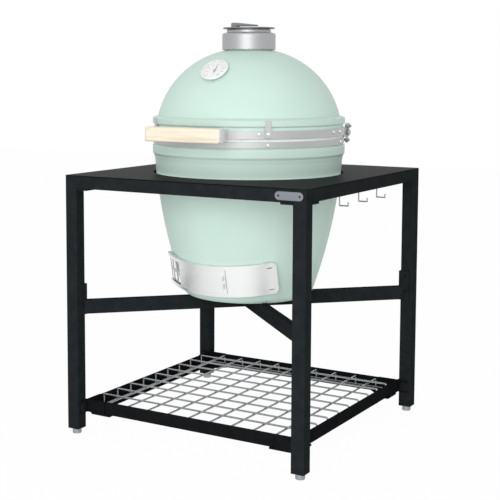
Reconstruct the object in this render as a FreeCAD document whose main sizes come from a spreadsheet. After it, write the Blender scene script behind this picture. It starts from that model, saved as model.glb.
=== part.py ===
import FreeCAD, Part
import math
import os

import Sketcher
from FreeCAD import Placement, Rotation, Vector

# A ceramic kamado grill in its square steel table. Millimetres, +Z up, the origin on the floor
# under the middle of the table, the front of the table and of the grill towards -Y.

os.makedirs("parts", exist_ok=True)
doc = FreeCAD.newDocument("kamado_grill_table")
sheet = doc.addObject("Spreadsheet::Sheet", "Sizes")

# Driving sizes, in millimetres and degrees. Each can be changed by itself.
SIZES = {
    # table frame
    "table_width": 760,
    "table_height": 750,
    "leg_side": 38,
    "rail_height": 35,
    "tube_wall": 2,
    "tube_corner": 3,
    "top_thickness": 2,
    "top_hole_radius": 277,
    "corner_plate_reach": 35,
    "corner_plate_thickness": 5,
    # levelling feet and the caps that close the legs
    "leg_clearance": 16,
    "cap_flange": 3.5,
    "cap_spigot": 22,
    "foot_radius": 13,
    "stem_radius": 5,
    "stem_length": 40,
    "foot_bevel": 1,
    # bolts of the frame
    "bolt_radius": 3,
    "bolt_head_radius": 5.5,
    "bolt_head_height": 3,
    "shelf_bolt_radius": 4,
    "shelf_cap_radius": 14,
    "shelf_cap_height": 5,
    # cross that carries the grill
    "cross_drop": 360.3,
    "bar_height": 40,
    "bar_width": 20,
    "bar_wall": 2,
    "bracket_thickness": 4,
    "bracket_reach": 28,
    "bracket_height": 89,
    "bracket_rise": 47,
    "bracket_bolt_drop": 14.5,
    "bracket_bolt_pitch": 47.5,
    # shelf
    "shelf_bottom": 60.5,
    "shelf_rail_height": 36.5,
    "shelf_rail_wall": 3,
    "shelf_ledge": 30,
    "shelf_wing": 66,
    "shelf_plate_reach": 83,
    "shelf_plate_neck": 20,
    "shelf_plate_thickness": 5,
    # wire grid on the shelf
    "grid_wire_radius": 2.75,
    "grid_pitch": 68,
    "grid_half": 330,
    "grid_height": 97.5,
    # hooks under the right rail
    "hook_wire_radius": 1.8,
    "hook_pitch": 125,
    "hook_inset": 28,
    "hook_drop": 30,
    "hook_length": 25.5,
    "hook_tip": 9,
    # plate on the front rail
    "plate_length": 80,
    "plate_height": 22,
    "plate_thickness": 1.6,
    "plate_inset": 48,
    "plate_screw_pitch": 60,
    "plate_screw_radius": 1.5,
    # ceramic base
    "base_height": 463.3,
    "shell_wall": 24,
    "foot_ring_radius": 166,
    "base_floor": 28.3,
    "heel_radius": 28,
    "heel_reach": 26,
    "heel_rise": 18,
    "belly_radius": 1530,
    "belly_drop": 63,
    "rim_radius": 274,
    "lip_radius": 279.4,
    "base_lip_drop": 23,
    "base_lip_height": 22,
    "gasket_thickness": 2.8,
    # ceramic dome
    "dome_arc_radius": 251,
    "dome_arc_offset": 19.8,
    "dome_skirt": 31,
    "dome_lip_height": 14.5,
    "dome_shoulder": 56,
    "throat_radius": 50,
    "collar_radius": 70,
    "collar_height": 26,
    "dome_wall": 22,
    # fire box, ring and grates inside
    "fire_box_floor": 24,
    "fire_box_bottom_radius": 138,
    "fire_box_top_radius": 206,
    "fire_box_height": 218,
    "fire_box_wall": 20,
    "fire_ring_radius": 212,
    "fire_ring_wall": 20,
    "fire_ring_height": 186,
    "fire_grate_height": 52,
    "fire_grate_thickness": 8,
    "cooking_grid_radius": 214,
    "cooking_wire_radius": 4,
    "cooking_bar_radius": 2.5,
    "cooking_bar_pitch": 19,
    # bands, hinge and clips
    "band_thickness": 3,
    "upper_band_height": 22,
    "lower_band_height": 16,
    "lower_band_drop": 1.5,
    "band_bolt_head": 4.5,
    "band_bolt_radius": 2.5,
    "band_bolt_angle": 35.3,
    "clip_angle": 40.3,
    "clip_width": 17,
    "clip_rise": 26,
    "hinge_reach": 300,
    "hinge_pin_radius": 5,
    "hinge_lug_radius": 14,
    "hinge_arm_thickness": 6,
    "hinge_lower_offset": 163,
    "hinge_upper_offset": 173,
    "hinge_ear_radius": 9,
    "hinge_stud_radius": 4,
    "hinge_stud_end": 190,
    "spring_wire": 2.5,
    # handle
    "grip_length": 231,
    "grip_height": 40,
    "grip_depth": 24,
    "grip_corner": 7,
    "grip_reach": 352,
    "grip_rise": 17,
    "grip_post_offset": 80,
    "grip_post_width": 12,
    "grip_post_height": 26,
    "grip_cap_inset": 1,
    "grip_cap_thickness": 2.5,
    # vent cap on the dome
    "vent_radius": 77.3,
    "vent_height": 48,
    "vent_neck_radius": 64,
    "vent_neck_height": 9,
    "vent_plate_radius": 60,
    "vent_plate_thickness": 2.5,
    "vent_cover_radius": 75,
    "vent_cover_thickness": 4,
    "vent_pin_radius": 3,
    "vent_pin_reach": 69,
    "lever_height": 15,
    # thermometer
    "dial_reach": 188.6,
    "case_radius": 40,
    "case_height": 8,
    "case_wall": 3.5,
    "probe_radius": 4,
    "probe_length": 75,
    "needle_length": 18,
    # draft door
    "draft_rise": 70,
    "draft_stand": 3.2,
    "draft_band": 91,
    "draft_lip": 10,
    "draft_radius": 238,
    "draft_tilt": 12.5,
    "draft_depth": 10,
    "draft_sheet": 1.5,
    "draft_corner": 14,
    "draft_end_angle": 46,
    "draft_seam_angle": 12.6,
    "door_angle": 40,
    "screen_angle": 36,
    "screen_start": 45,
    "port_width": 100,
    "port_height": 62,
    "port_middle": -15,
    "sleeve_depth": 33,
    # fits
    "running_gap": 0.3,
    "pin_gap": 0.05,
    "bolt_gap": 0.2,
}


class Size:
    """A number that remembers the sheet expression that gives it."""

    def __init__(self, number, text):
        self.number = float(number)
        self.text = text

    def __add__(self, other):
        return joined(self, "+", other, self.number + size(other).number)

    def __radd__(self, other):
        return joined(other, "+", self, size(other).number + self.number)

    def __sub__(self, other):
        return joined(self, "-", other, self.number - size(other).number)

    def __rsub__(self, other):
        return joined(other, "-", self, size(other).number - self.number)

    def __mul__(self, other):
        return joined(self, "*", other, self.number * size(other).number)

    def __rmul__(self, other):
        return joined(other, "*", self, size(other).number * self.number)

    def __truediv__(self, other):
        return joined(self, "/", other, self.number / size(other).number)

    def __neg__(self):
        return Size(-self.number, "(0 - %s)" % self.text)


def size(value):
    """The value as a Size, whether it is one or a plain number."""
    if isinstance(value, Size):
        return value
    return Size(value, "(%.6f)" % value)


def joined(first, sign, second, number):
    """Two sizes joined by a sign, as a number and as an expression."""
    return Size(number, "(%s %s %s)" % (size(first).text, sign, size(second).text))


def root(value):
    """Square root of a size."""
    return Size(math.sqrt(value.number), "sqrt(%s)" % value.text)


def arcsine(value):
    """Angle in degrees whose sine is the size."""
    return Size(math.degrees(math.asin(value.number)), "asin(%s)" % value.text)


def cosine(value):
    """Cosine of a size in degrees."""
    return Size(math.cos(math.radians(value.number)), "cos(%s)" % value.text)


def sine(value):
    """Sine of a size in degrees."""
    return Size(math.sin(math.radians(value.number)), "sin(%s)" % value.text)


class Sheet:
    """The driving sizes by name."""


S = Sheet()
for row, (alias, value) in enumerate(SIZES.items(), 1):
    sheet.set("A%d" % row, alias)
    sheet.set("B%d" % row, str(value))
    sheet.setAlias("B%d" % row, alias)
    setattr(S, alias, Size(value, "Sizes." + alias))
doc.recompute()

# Turns about Z that bring a piece from the back right corner to each corner.
CORNERS = {"back_right": 0, "back_left": 90, "front_left": 180, "front_right": 270}
# Turns that bring a piece from the front to each side.
SIDES = {"front": 0, "right": 90, "back": 180, "left": 270}
UP = Vector(0, 0, 1)
ACROSS = Vector(1, 0, 0)
AWAY = Vector(0, 1, 0)
nodes = {}


def bind(thing, path, value):
    """Ties a property to the sheet where its size comes from there."""
    text = size(value).text
    if "Sizes." in text:
        thing.setExpression(path, text)


def place(thing, at=(0, 0, 0), axis=UP, angle=0):
    """Puts a piece at a point, turned about an axis, and ties the place to the sheet."""
    numbers = [size(value).number for value in at]
    thing.Placement = Placement(Vector(*numbers), Rotation(axis, size(angle).number))
    for letter, value in zip("xyz", at):
        bind(thing, "Placement.Base." + letter, value)
    bind(thing, "Placement.Rotation.Angle", angle)
    return thing


def primitive(kind, name, lengths):
    """A solid primitive with its lengths tied to the sheet."""
    thing = doc.addObject(kind, name)
    for path, value in lengths.items():
        setattr(thing, path, size(value).number)
        bind(thing, path, value)
    return thing


def box(name, low, high):
    """A box between two corners."""
    spans = [size(b) - size(a) for a, b in zip(low, high)]
    thing = primitive("Part::Box", name, dict(zip(("Length", "Width", "Height"), spans)))
    return place(thing, low)


def cylinder(name, radius, height, at=(0, 0, 0), axis="Z"):
    """A cylinder that starts at a point and runs along X, Y or Z."""
    thing = primitive("Part::Cylinder", name, {"Radius": radius, "Height": height})
    if axis == "X":
        return place(thing, at, AWAY, 90)
    if axis == "Y":
        return place(thing, at, ACROSS, -90)
    return place(thing, at)


def sphere(name, radius, at):
    """A ball at a point."""
    return place(primitive("Part::Sphere", name, {"Radius": radius}), at)


def ring(name, radius, wire, at=(0, 0, 0), axis="Z"):
    """A wire ring about X or Z."""
    thing = primitive("Part::Torus", name, {"Radius1": radius, "Radius2": wire})
    if axis == "X":
        return place(thing, at, AWAY, 90)
    return place(thing, at)


def fuse(name, pieces):
    """Several touching solids made one."""
    thing = doc.addObject("Part::MultiFuse", name)
    thing.Shapes = pieces
    return thing


def common(name, pieces):
    """What several solids share."""
    thing = doc.addObject("Part::MultiCommon", name)
    thing.Shapes = pieces
    return thing


def group(name, pieces):
    """Several solids kept apart under one name."""
    thing = doc.addObject("Part::Compound", name)
    thing.Links = pieces
    return thing


def cut(name, base, tools):
    """A solid with others taken out of it."""
    thing = doc.addObject("Part::Cut", name)
    thing.Base = base
    thing.Tool = tools[0] if len(tools) == 1 else group(name + "_tools", tools)
    return thing


def node(name, thing):
    """Names a finished sub-part."""
    thing.Label = name
    nodes[name] = thing
    return thing


def new_body(name, at=(0, 0, 0), axis=UP, angle=0):
    """An empty body at its place."""
    return place(doc.addObject("PartDesign::Body", name), at, axis, angle)


def new_sketch(body, role, level=0):
    """A sketch on one of the body's origin planes, raised along its normal."""
    drawing = body.newObject("Sketcher::SketchObject", body.Name + "_sketch")
    plane = [item for item in body.Origin.OriginFeatures if item.Role == role][0]
    drawing.AttachmentSupport = [(plane, "")]
    drawing.MapMode = "FlatFace"
    drawing.AttachmentOffset = Placement(Vector(0, 0, size(level).number), Rotation())
    bind(drawing, "AttachmentOffset.Base.z", level)
    return drawing


def pin_point(drawing, geometry, position, across, up):
    """Fixes a point of a sketch by its two distances from the sketch's origin."""
    for kind, axis, value in (("DistanceX", -2, size(across)), ("DistanceY", -1, size(up))):
        if value.number == 0 and "Sizes." not in value.text:
            drawing.addConstraint(Sketcher.Constraint("PointOnObject", geometry, position, axis))
            continue
        rule = Sketcher.Constraint(kind, -1, 1, geometry, position, value.number)
        number = drawing.addConstraint(rule)
        bind(drawing, "Constraints[%d]" % number, value)


def arc_between(start, end, radius, side):
    """The short arc from start to end that bulges right (side 1) or left (side -1)."""
    chord = end - start
    left = Vector(-chord.y, chord.x, 0).normalize()
    reach = math.sqrt(radius * radius - chord.Length * chord.Length / 4)
    centre = (start + end) / 2 + left * (reach * side)
    first, last = (start, end) if side > 0 else (end, start)
    angles = [math.atan2(point.y - centre.y, point.x - centre.x) for point in (first, last)]
    return Part.ArcOfCircle(Part.Circle(centre, UP, radius), angles[0], angles[1])


def outline(drawing, corners):
    """Adds a closed outline. A corner is (across, up), or (across, up, radius, side) when an arc
    of that radius leads to it."""
    count = len(corners)
    points = [Vector(size(c[0]).number, size(c[1]).number, 0) for c in corners]
    pieces = []
    for index, corner in enumerate(corners):
        start, end = points[index - 1], points[index]
        if len(corner) == 4:
            radius = size(corner[2])
            number = drawing.addGeometry(arc_between(start, end, radius.number, corner[3]))
            rule = Sketcher.Constraint("Radius", number, radius.number)
            bind(drawing, "Constraints[%d]" % drawing.addConstraint(rule), radius)
            ends = (1, 2) if corner[3] > 0 else (2, 1)
        else:
            number = drawing.addGeometry(Part.LineSegment(start, end))
            ends = (1, 2)
        pieces.append((number, ends))
    for index, (number, ends) in enumerate(pieces):
        following, next_ends = pieces[(index + 1) % count]
        rule = Sketcher.Constraint("Coincident", number, ends[1], following, next_ends[0])
        drawing.addConstraint(rule)
        pin_point(drawing, number, ends[1], corners[index][0], corners[index][1])
    return drawing


def circles(drawing, centres, radius):
    """Adds circles of one radius at several centres."""
    for across, up in centres:
        middle = Vector(size(across).number, size(up).number, 0)
        number = drawing.addGeometry(Part.Circle(middle, UP, size(radius).number))
        rule = Sketcher.Constraint("Radius", number, size(radius).number)
        bind(drawing, "Constraints[%d]" % drawing.addConstraint(rule), radius)
        pin_point(drawing, number, 3, across, up)
    return drawing


def rounded(low_x, low_y, high_x, high_y, radius):
    """Corners of a rectangle with rounded corners."""
    return [
        (low_x + radius, low_y),
        (high_x - radius, low_y),
        (high_x, low_y + radius, radius, 1),
        (high_x, high_y - radius),
        (high_x - radius, high_y, radius, 1),
        (low_x + radius, high_y),
        (low_x, high_y - radius, radius, 1),
        (low_x, low_y + radius),
        (low_x + radius, low_y, radius, 1),
    ][1:]


def pad(body, drawing, length):
    """Raises a sketch along its normal."""
    feature = body.newObject("PartDesign::Pad", body.Name + "_pad")
    feature.Profile = drawing
    feature.Length = size(length).number
    bind(feature, "Length", length)
    return body


def pocket(body, drawing, length, along_normal=False):
    """Cuts a sketch into the body, against its normal unless told otherwise. It has to cut."""
    doc.recompute()
    before = body.Shape.Volume
    feature = body.newObject("PartDesign::Pocket", body.Name + "_pocket")
    feature.Profile = drawing
    feature.Length = size(length).number
    feature.Reversed = along_normal
    bind(feature, "Length", length)
    doc.recompute()
    if body.Shape.Volume >= before:
        raise RuntimeError("nothing was cut from " + body.Name)
    return body


def revolve(body, drawing, sweep=360):
    """Turns a sketch about the body's Z axis."""
    feature = body.newObject("PartDesign::Revolution", body.Name + "_revolution")
    feature.Profile = drawing
    feature.ReferenceAxis = (drawing, ["V_Axis"])
    feature.Angle = size(sweep).number
    bind(feature, "Angle", sweep)
    return body


def turned_solid(name, corners, at=(0, 0, 0), axis=UP, angle=0):
    """A solid of revolution from its outline of (radius, height) corners."""
    body = new_body(name, at, axis, angle)
    return revolve(body, outline(new_sketch(body, "XZ_Plane"), corners))


# Places that several sub-parts share.
half = S.table_width / 2
inner = half - S.leg_side
leg_centre = half - S.leg_side / 2
top_bottom = S.table_height - S.top_thickness
rail_bottom = top_bottom - S.rail_height
cross_top = S.table_height - S.cross_drop
draft_height = cross_top + S.draft_rise
leg_bottom = S.leg_clearance + S.cap_flange
bracket_face = inner - S.bracket_thickness
bracket_top = cross_top + S.bracket_rise
bracket_bottom = bracket_top - S.bracket_height
bolt_place = inner + S.leg_side / 2 - 1
high_bolt = bracket_top - S.bracket_bolt_drop
low_bolt = high_bolt - S.bracket_bolt_pitch
shelf_top = S.shelf_bottom + S.shelf_rail_height
shelf_bolt_height = S.shelf_bottom + S.shelf_rail_height / 2
bolt_hole = S.bolt_radius + S.bolt_gap
shelf_bolt_hole = S.shelf_bolt_radius + S.bolt_gap
plate_hole = S.plate_screw_radius + S.bolt_gap


def tube_section(drawing, low_x, low_y, high_x, high_y, wall):
    """Outside and inside of a rectangular tube."""
    outline(drawing, rounded(low_x, low_y, high_x, high_y, S.tube_corner))
    inside = rounded(low_x + wall, low_y + wall, high_x - wall, high_y - wall,
                     S.tube_corner - wall)
    return outline(drawing, inside)


def make_legs():
    """Four square tubes with the bolt holes of the cross and of the shelf."""
    holes = ((bolt_place, high_bolt), (bolt_place, low_bolt))
    shelf_hole = ((bolt_place, shelf_bolt_height),)
    inside = inner + S.tube_wall + 0.5
    depth = S.tube_wall + 1
    for corner, turn in CORNERS.items():
        body = new_body("leg_" + corner, angle=turn)
        drawing = new_sketch(body, "XY_Plane", leg_bottom)
        tube_section(drawing, inner, inner, half, half, S.tube_wall)
        pad(body, drawing, top_bottom - leg_bottom)
        for centres, radius in ((holes, bolt_hole), (shelf_hole, shelf_bolt_hole)):
            pocket(body, circles(new_sketch(body, "YZ_Plane", inside), centres, radius), depth)
            drawing = circles(new_sketch(body, "XZ_Plane", -inside), centres, radius)
            pocket(body, drawing, depth, along_normal=True)
        if corner == "front_right":
            # right screw of the plate, which reaches over the end of the front rail
            across, up = plate_screws()[1]
            drawing = new_sketch(body, "YZ_Plane", half + 0.5)
            pocket(body, circles(drawing, ((across, up),), plate_hole), depth)
        node("leg_" + corner, body)


def plate_screws():
    """Centres of the two screws of the plate, on the front rail."""
    middle = half - S.plate_inset
    height = rail_bottom + S.rail_height / 2
    reach = S.plate_screw_pitch / 2
    return (middle - reach, height), (middle + reach, height)


def make_rails():
    """Four square tubes between the legs, level with their tops."""
    for side, turn in SIDES.items():
        body = new_body("rail_" + side, angle=turn)
        drawing = new_sketch(body, "YZ_Plane", -inner)
        tube_section(drawing, -half, rail_bottom, -inner, top_bottom, S.tube_wall)
        pad(body, drawing, inner * 2)
        if side == "front":
            drawing = circles(new_sketch(body, "XZ_Plane", half - S.tube_wall - 0.5),
                              plate_screws()[:1], plate_hole)
            pocket(body, drawing, S.tube_wall + 1, along_normal=True)
        node("rail_" + side, body)


def make_top():
    """Steel sheet over the frame, with the round hole for the grill."""
    body = new_body("table_top")
    drawing = new_sketch(body, "XY_Plane", top_bottom)
    outline(drawing, rounded(-half, -half, half, half, S.tube_corner))
    circles(drawing, ((0, 0),), S.top_hole_radius)
    node("table_top", pad(body, drawing, S.top_thickness))


def make_corner_plates():
    """Flat plates under the rails, folded round the inner side of each leg."""
    reach = inner - S.corner_plate_reach
    corners = [(half, reach), (half, inner), (inner, inner), (inner, half), (reach, half),
               (reach, inner), (inner, reach)]
    plates = []
    for corner, turn in CORNERS.items():
        body = new_body("corner_plate_" + corner, angle=turn)
        drawing = new_sketch(body, "XY_Plane", rail_bottom - S.corner_plate_thickness)
        plates.append(pad(body, outline(drawing, corners), S.corner_plate_thickness))
    node("corner_plates", group("corner_plates", plates))


def make_feet():
    """Plastic caps in the leg ends, and the levelling feet that screw into them."""
    caps = []
    bore = S.stem_radius + S.pin_gap
    low = inner + S.tube_wall + S.bolt_gap
    high = half - S.tube_wall - S.bolt_gap
    middle = ((leg_centre, leg_centre),)
    for corner, turn in CORNERS.items():
        body = new_body("leg_cap_" + corner, angle=turn)
        drawing = new_sketch(body, "XY_Plane", S.leg_clearance)
        outline(drawing, rounded(inner, inner, half, half, S.tube_corner))
        pad(body, circles(drawing, middle, bore), S.cap_flange)
        drawing = new_sketch(body, "XY_Plane", leg_bottom)
        outline(drawing, rounded(low, low, high, high, S.tube_corner - S.tube_wall))
        caps.append(pad(body, circles(drawing, middle, bore), S.cap_spigot))
    node("leg_end_caps", group("leg_end_caps", caps))
    top = S.leg_clearance - S.running_gap
    bevel = S.foot_bevel
    profile = [(0, 0), (S.foot_radius - bevel, 0), (S.foot_radius, bevel),
               (S.foot_radius, top - bevel), (S.foot_radius - bevel, top), (S.stem_radius, top),
               (S.stem_radius, top + S.stem_length), (0, top + S.stem_length)]
    for across in ("left", "right"):
        for along in ("front", "back"):
            x = leg_centre if across == "right" else -leg_centre
            y = leg_centre if along == "back" else -leg_centre
            name = "foot_%s_%s" % (along, across)
            node(name, turned_solid(name, profile, at=(x, y, 0)))


def bolt(name, head, height, shank, length, across, up, turn, other_face=False):
    """A bolt through the inner face of a leg, its head against the bracket."""
    face = bracket_face
    if other_face:
        pieces = [cylinder("head", head, height, (across, face - height, up), "Y"),
                  cylinder("shank", shank, length, (across, face, up), "Y")]
    else:
        pieces = [cylinder("head", head, height, (face - height, across, up), "X"),
                  cylinder("shank", shank, length, (face, across, up), "X")]
    return place(fuse(name, pieces), angle=turn)


def notch(body, tip, side, sign):
    """Cuts a square notch into one end of a bar, so that it fits over a bracket's corner."""
    wide = side + 2
    end = (tip + wide) * sign
    corners = [(tip * sign, 0), (end, wide), (end, -wide)]
    drawing = outline(new_sketch(body, "XY_Plane", cross_top + 1), corners)
    pocket(body, drawing, S.bar_height + 2)


def make_cross():
    """Two crossing bars that carry the grill: a long one, and two halves against its sides."""
    side = S.bar_width / 2
    tip = bracket_face * root(size(2))
    bottom = cross_top - S.bar_height

    def bar(name, start, turn, both_ends):
        body = new_body(name, angle=turn)
        drawing = new_sketch(body, "YZ_Plane", start)
        outline(drawing, [(-side, bottom), (side, bottom), (side, cross_top),
                          (-side, cross_top)])
        wall = S.bar_wall
        outline(drawing, [(wall - side, bottom + wall), (side - wall, bottom + wall),
                          (side - wall, cross_top - wall), (wall - side, cross_top - wall)])
        pad(body, drawing, tip + side - start)
        notch(body, tip, side, 1)
        if both_ends:
            notch(body, tip, side, -1)
        return body

    node("cross_bar_long", bar("cross_bar_long", -tip - side, 45, True))
    halves = [bar("cross_bar_half", side, 135, False), bar("cross_bar_half", side, 315, False)]
    node("cross_bar_halves", group("cross_bar_halves", halves))

    end = inner + S.bracket_reach
    corners = [(bracket_face, bracket_face), (end, bracket_face), (end, inner), (inner, inner),
               (inner, end), (bracket_face, end)]
    holes = ((bolt_place, high_bolt), (bolt_place, low_bolt))
    brackets = []
    bolts = []
    for corner, turn in CORNERS.items():
        body = new_body("cross_bracket_" + corner, angle=turn)
        drawing = outline(new_sketch(body, "XY_Plane", bracket_bottom), corners)
        pad(body, drawing, S.bracket_height)
        depth = S.bracket_thickness + 1
        pocket(body, circles(new_sketch(body, "YZ_Plane", inner + 0.5), holes, bolt_hole), depth)
        drawing = circles(new_sketch(body, "XZ_Plane", -inner - 0.5), holes, bolt_hole)
        pocket(body, drawing, depth, along_normal=True)
        brackets.append(body)
        length = S.bracket_thickness + S.tube_wall
        for height in (high_bolt, low_bolt):
            for other_face in (False, True):
                bolts.append(bolt("cross_bolt", S.bolt_head_radius, S.bolt_head_height,
                                  S.bolt_radius, length, bolt_place, height, turn, other_face))
    node("cross_brackets", group("cross_brackets", brackets))
    node("cross_bolts", group("cross_bolts", bolts))


def make_shelf():
    """Angle rails round the shelf, mitred at the corners, with brackets that reach the legs."""
    out = bracket_face
    wall = S.shelf_rail_wall
    low = S.shelf_bottom
    section = [(-out, low), (S.shelf_ledge - out, low), (S.shelf_ledge - out, low + wall),
               (wall - out, low + wall), (wall - out, shelf_top), (-out, shelf_top)]
    for side, turn in SIDES.items():
        body = new_body("shelf_rail_" + side, angle=turn)
        pad(body, outline(new_sketch(body, "YZ_Plane", -out), section), out * 2)
        for sign in (1, -1):
            end = (out + 1) * sign
            start = (out - S.shelf_ledge - 1) * sign
            corners = [(end, -out - 1), (end, S.shelf_ledge + 1 - out),
                       (start, S.shelf_ledge + 1 - out)]
            drawing = outline(new_sketch(body, "XY_Plane", shelf_top + 1), corners)
            pocket(body, drawing, S.shelf_rail_height + 2)
        node("shelf_rail_" + side, body)

    wing = inner - S.shelf_wing
    end = inner + S.bracket_reach
    cross = [(out, wing), (inner, wing), (inner, out), (end, out), (end, inner), (inner, inner),
             (inner, end), (out, end), (out, inner), (wing, inner), (wing, out), (out, out)]
    reach = inner - S.shelf_plate_reach
    neck = S.shelf_plate_neck
    plate = [(inner, reach), (inner, inner - neck), (inner - neck, inner), (reach, inner),
             (reach, inner - neck), (inner - neck, reach)]
    brackets = []
    bolts = []
    for corner, turn in CORNERS.items():
        body = new_body("shelf_bracket_" + corner, angle=turn)
        pad(body, outline(new_sketch(body, "XY_Plane", low), cross), S.shelf_rail_height)
        drawing = new_sketch(body, "XY_Plane", low - S.shelf_plate_thickness)
        pad(body, outline(drawing, plate), S.shelf_plate_thickness)
        hole = ((bolt_place, shelf_bolt_height),)
        depth = S.bracket_thickness + 1
        drawing = circles(new_sketch(body, "YZ_Plane", inner + 0.5), hole, shelf_bolt_hole)
        pocket(body, drawing, depth)
        drawing = circles(new_sketch(body, "XZ_Plane", -inner - 0.5), hole, shelf_bolt_hole)
        pocket(body, drawing, depth, along_normal=True)
        brackets.append(body)
        for other_face in (False, True):
            bolts.append(bolt("shelf_bolt", S.shelf_cap_radius, S.shelf_cap_height,
                              S.shelf_bolt_radius, S.bracket_thickness + S.tube_wall,
                              bolt_place, shelf_bolt_height, turn, other_face))
    node("shelf_corner_brackets", group("shelf_corner_brackets", brackets))
    node("shelf_bolts", group("shelf_bolts", bolts))


def make_shelf_grid():
    """Wire grid: wires across over wires along, with their ends bent down onto a square of wire
    that lies on the ledge."""
    wire = S.grid_wire_radius
    reach = S.grid_half
    floor = S.shelf_bottom + S.shelf_rail_wall + S.running_gap + wire
    pieces = []
    sides = []
    for sign in (1, -1):
        sides.append(cylinder("edge", wire, reach * 2, (-reach, reach * sign, floor), "X"))
        sides.append(cylinder("edge", wire, reach * 2, (reach * sign, -reach, floor), "Y"))
        for other in (1, -1):
            sides.append(sphere("corner", wire, (reach * sign, reach * other, floor)))
    pieces.append(fuse("grid_edge", sides))
    count = int((reach.number - wire.number * 2) / S.grid_pitch.number)
    for step in range(-count, count + 1):
        offset = S.grid_pitch * step
        for axis, height in (("X", S.grid_height), ("Y", S.grid_height - wire * 2)):
            foot = floor + wire
            drop = height - foot
            run = []
            for sign in (1, -1):
                ends = (reach * sign, offset) if axis == "X" else (offset, reach * sign)
                run.append(sphere("bend", wire, (ends[0], ends[1], height)))
                run.append(cylinder("drop", wire, drop, (ends[0], ends[1], foot)))
            start = (-reach, offset, height) if axis == "X" else (offset, -reach, height)
            run.append(cylinder("run", wire, reach * 2, start, axis))
            pieces.append(fuse("grid_wire", run))
    node("shelf_grid", group("shelf_grid", pieces))


def make_hooks():
    """Three bent wire hooks under the right rail."""
    wire = S.hook_wire_radius
    x = half - S.hook_inset
    low = rail_bottom - S.hook_drop
    hooks = []
    for step in (-1, 0, 1):
        y = S.hook_pitch * step
        end = x + S.hook_length
        hooks.append(fuse("tool_hook", [
            cylinder("stem", wire, S.hook_drop, (x, y, low)),
            sphere("bend", wire, (x, y, low)),
            cylinder("arm", wire, S.hook_length, (x, y, low), "X"),
            sphere("bend", wire, (end, y, low)),
            cylinder("tip", wire, S.hook_tip, (end, y, low)),
            sphere("tip_end", wire, (end, y, low + S.hook_tip)),
        ]))
    node("tool_hooks", group("tool_hooks", hooks))


def make_name_plate():
    """Bare metal plate with round ends on the front rail, held by two screws."""
    middle = half - S.plate_inset
    height = rail_bottom + S.rail_height / 2
    radius = S.plate_height / 2
    straight = S.plate_length / 2 - radius
    body = new_body("name_plate")
    drawing = new_sketch(body, "XZ_Plane", half)
    outline(drawing, [
        (middle + straight, height - radius),
        (middle + straight + radius, height, radius, 1),
        (middle + straight, height + radius, radius, 1),
        (middle - straight, height + radius),
        (middle - straight - radius, height, radius, 1),
        (middle - straight, height - radius, radius, 1),
    ])
    circles(drawing, plate_screws(), plate_hole)
    node("name_plate", pad(body, drawing, S.plate_thickness))
    screws = []
    for x, z in plate_screws():
        face = -half - S.plate_thickness
        head = cylinder("head", S.plate_screw_radius * 1.8, 1, (x, face - 1, z), "Y")
        depth = S.plate_thickness + S.tube_wall
        shank = cylinder("shank", S.plate_screw_radius, depth, (x, face, z), "Y")
        screws.append(fuse("plate_screw", [head, shank]))
    node("name_plate_screws", group("name_plate_screws", screws))


# Heights and radii of the grill.
parting = cross_top + S.base_height
dome_bottom = parting + S.gasket_thickness * 2 + S.running_gap
dome_centre = parting + S.gasket_thickness
inner_rim = S.rim_radius - S.shell_wall
band_radius = S.rim_radius + S.running_gap
band_outside = band_radius + S.band_thickness


def dome_height(radius, arc_radius):
    """Height of a dome surface at a distance from the grill's axis."""
    across = radius - S.dome_arc_offset
    return dome_centre + root(arc_radius * arc_radius - across * across)


def draft_frame_place():
    """A point of the leaning axis that the draft door slides round, behind the belly's front.
    The frame leans less than the belly, so it stands off and rests on it with its top edge."""
    front = S.draft_radius * cosine(S.draft_tilt)
    belly = belly_radius_at(draft_height) + S.draft_stand
    return (0, front - belly, draft_height + S.draft_radius * sine(S.draft_tilt))


def lean(thing):
    """Leans a finished piece of the draft door against the belly."""
    return place(group(thing.Name + "_leaning", [thing]), draft_frame_place(), ACROSS,
                 S.draft_tilt)


def port_box(name, wall, out, depth):
    """Box that fills the draft port, smaller by a wall, from out in front to a depth."""
    wide = S.port_width / 2 - wall
    tall = S.port_height / 2 - wall
    front = S.draft_radius + S.running_gap
    return box(name, (S.port_middle - wide, -front - out, -tall),
               (S.port_middle + wide, depth - front, tall))


def belly_radius_at(height):
    """Radius of the base's outer wall at a height, on the circle of its belly."""
    low_r = S.foot_ring_radius + S.heel_reach
    low_z = cross_top + S.heel_rise
    high_r = S.rim_radius - 1.2
    high_z = parting - S.belly_drop
    run = high_r - low_r
    rise = high_z - low_z
    chord = root(run * run + rise * rise)
    reach = root(S.belly_radius * S.belly_radius - chord * chord / 4)
    centre_r = (low_r + high_r) / 2 - rise / chord * reach
    centre_z = (low_z + high_z) / 2 + run / chord * reach
    up = height - centre_z
    return centre_r + root(S.belly_radius * S.belly_radius - up * up)


def make_base():
    """Ceramic base: a deep bowl on the cross, with the draft port low in its front."""
    wall = S.shell_wall
    foot = cross_top
    low_r = S.foot_ring_radius + S.heel_reach
    low_z = foot + S.heel_rise
    high_r = S.rim_radius - 1.2
    high_z = parting - S.belly_drop
    lip_low = parting - S.base_lip_drop - S.base_lip_height
    lip_high = parting - S.base_lip_drop
    floor = foot + S.base_floor
    shell = turned_solid("base_blank", [
        (0, foot),
        (S.foot_ring_radius, foot),
        (low_r, low_z, S.heel_radius, 1),
        (high_r, high_z, S.belly_radius, 1),
        (S.rim_radius + 1.5, lip_low - 6),
        (S.lip_radius, lip_low),
        (S.lip_radius, lip_high),
        (S.rim_radius, lip_high + 4),
        (S.rim_radius, parting),
        (inner_rim, parting),
        (inner_rim, high_z),
        (low_r - wall, floor + S.heel_rise, S.belly_radius, -1),
        (low_r - wall - S.heel_reach, floor, S.heel_radius, -1),
        (0, floor),
    ])
    node("base_shell", cut("base_shell", shell, [lean(port_box("draft_port", 0, 20, 80))]))


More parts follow.
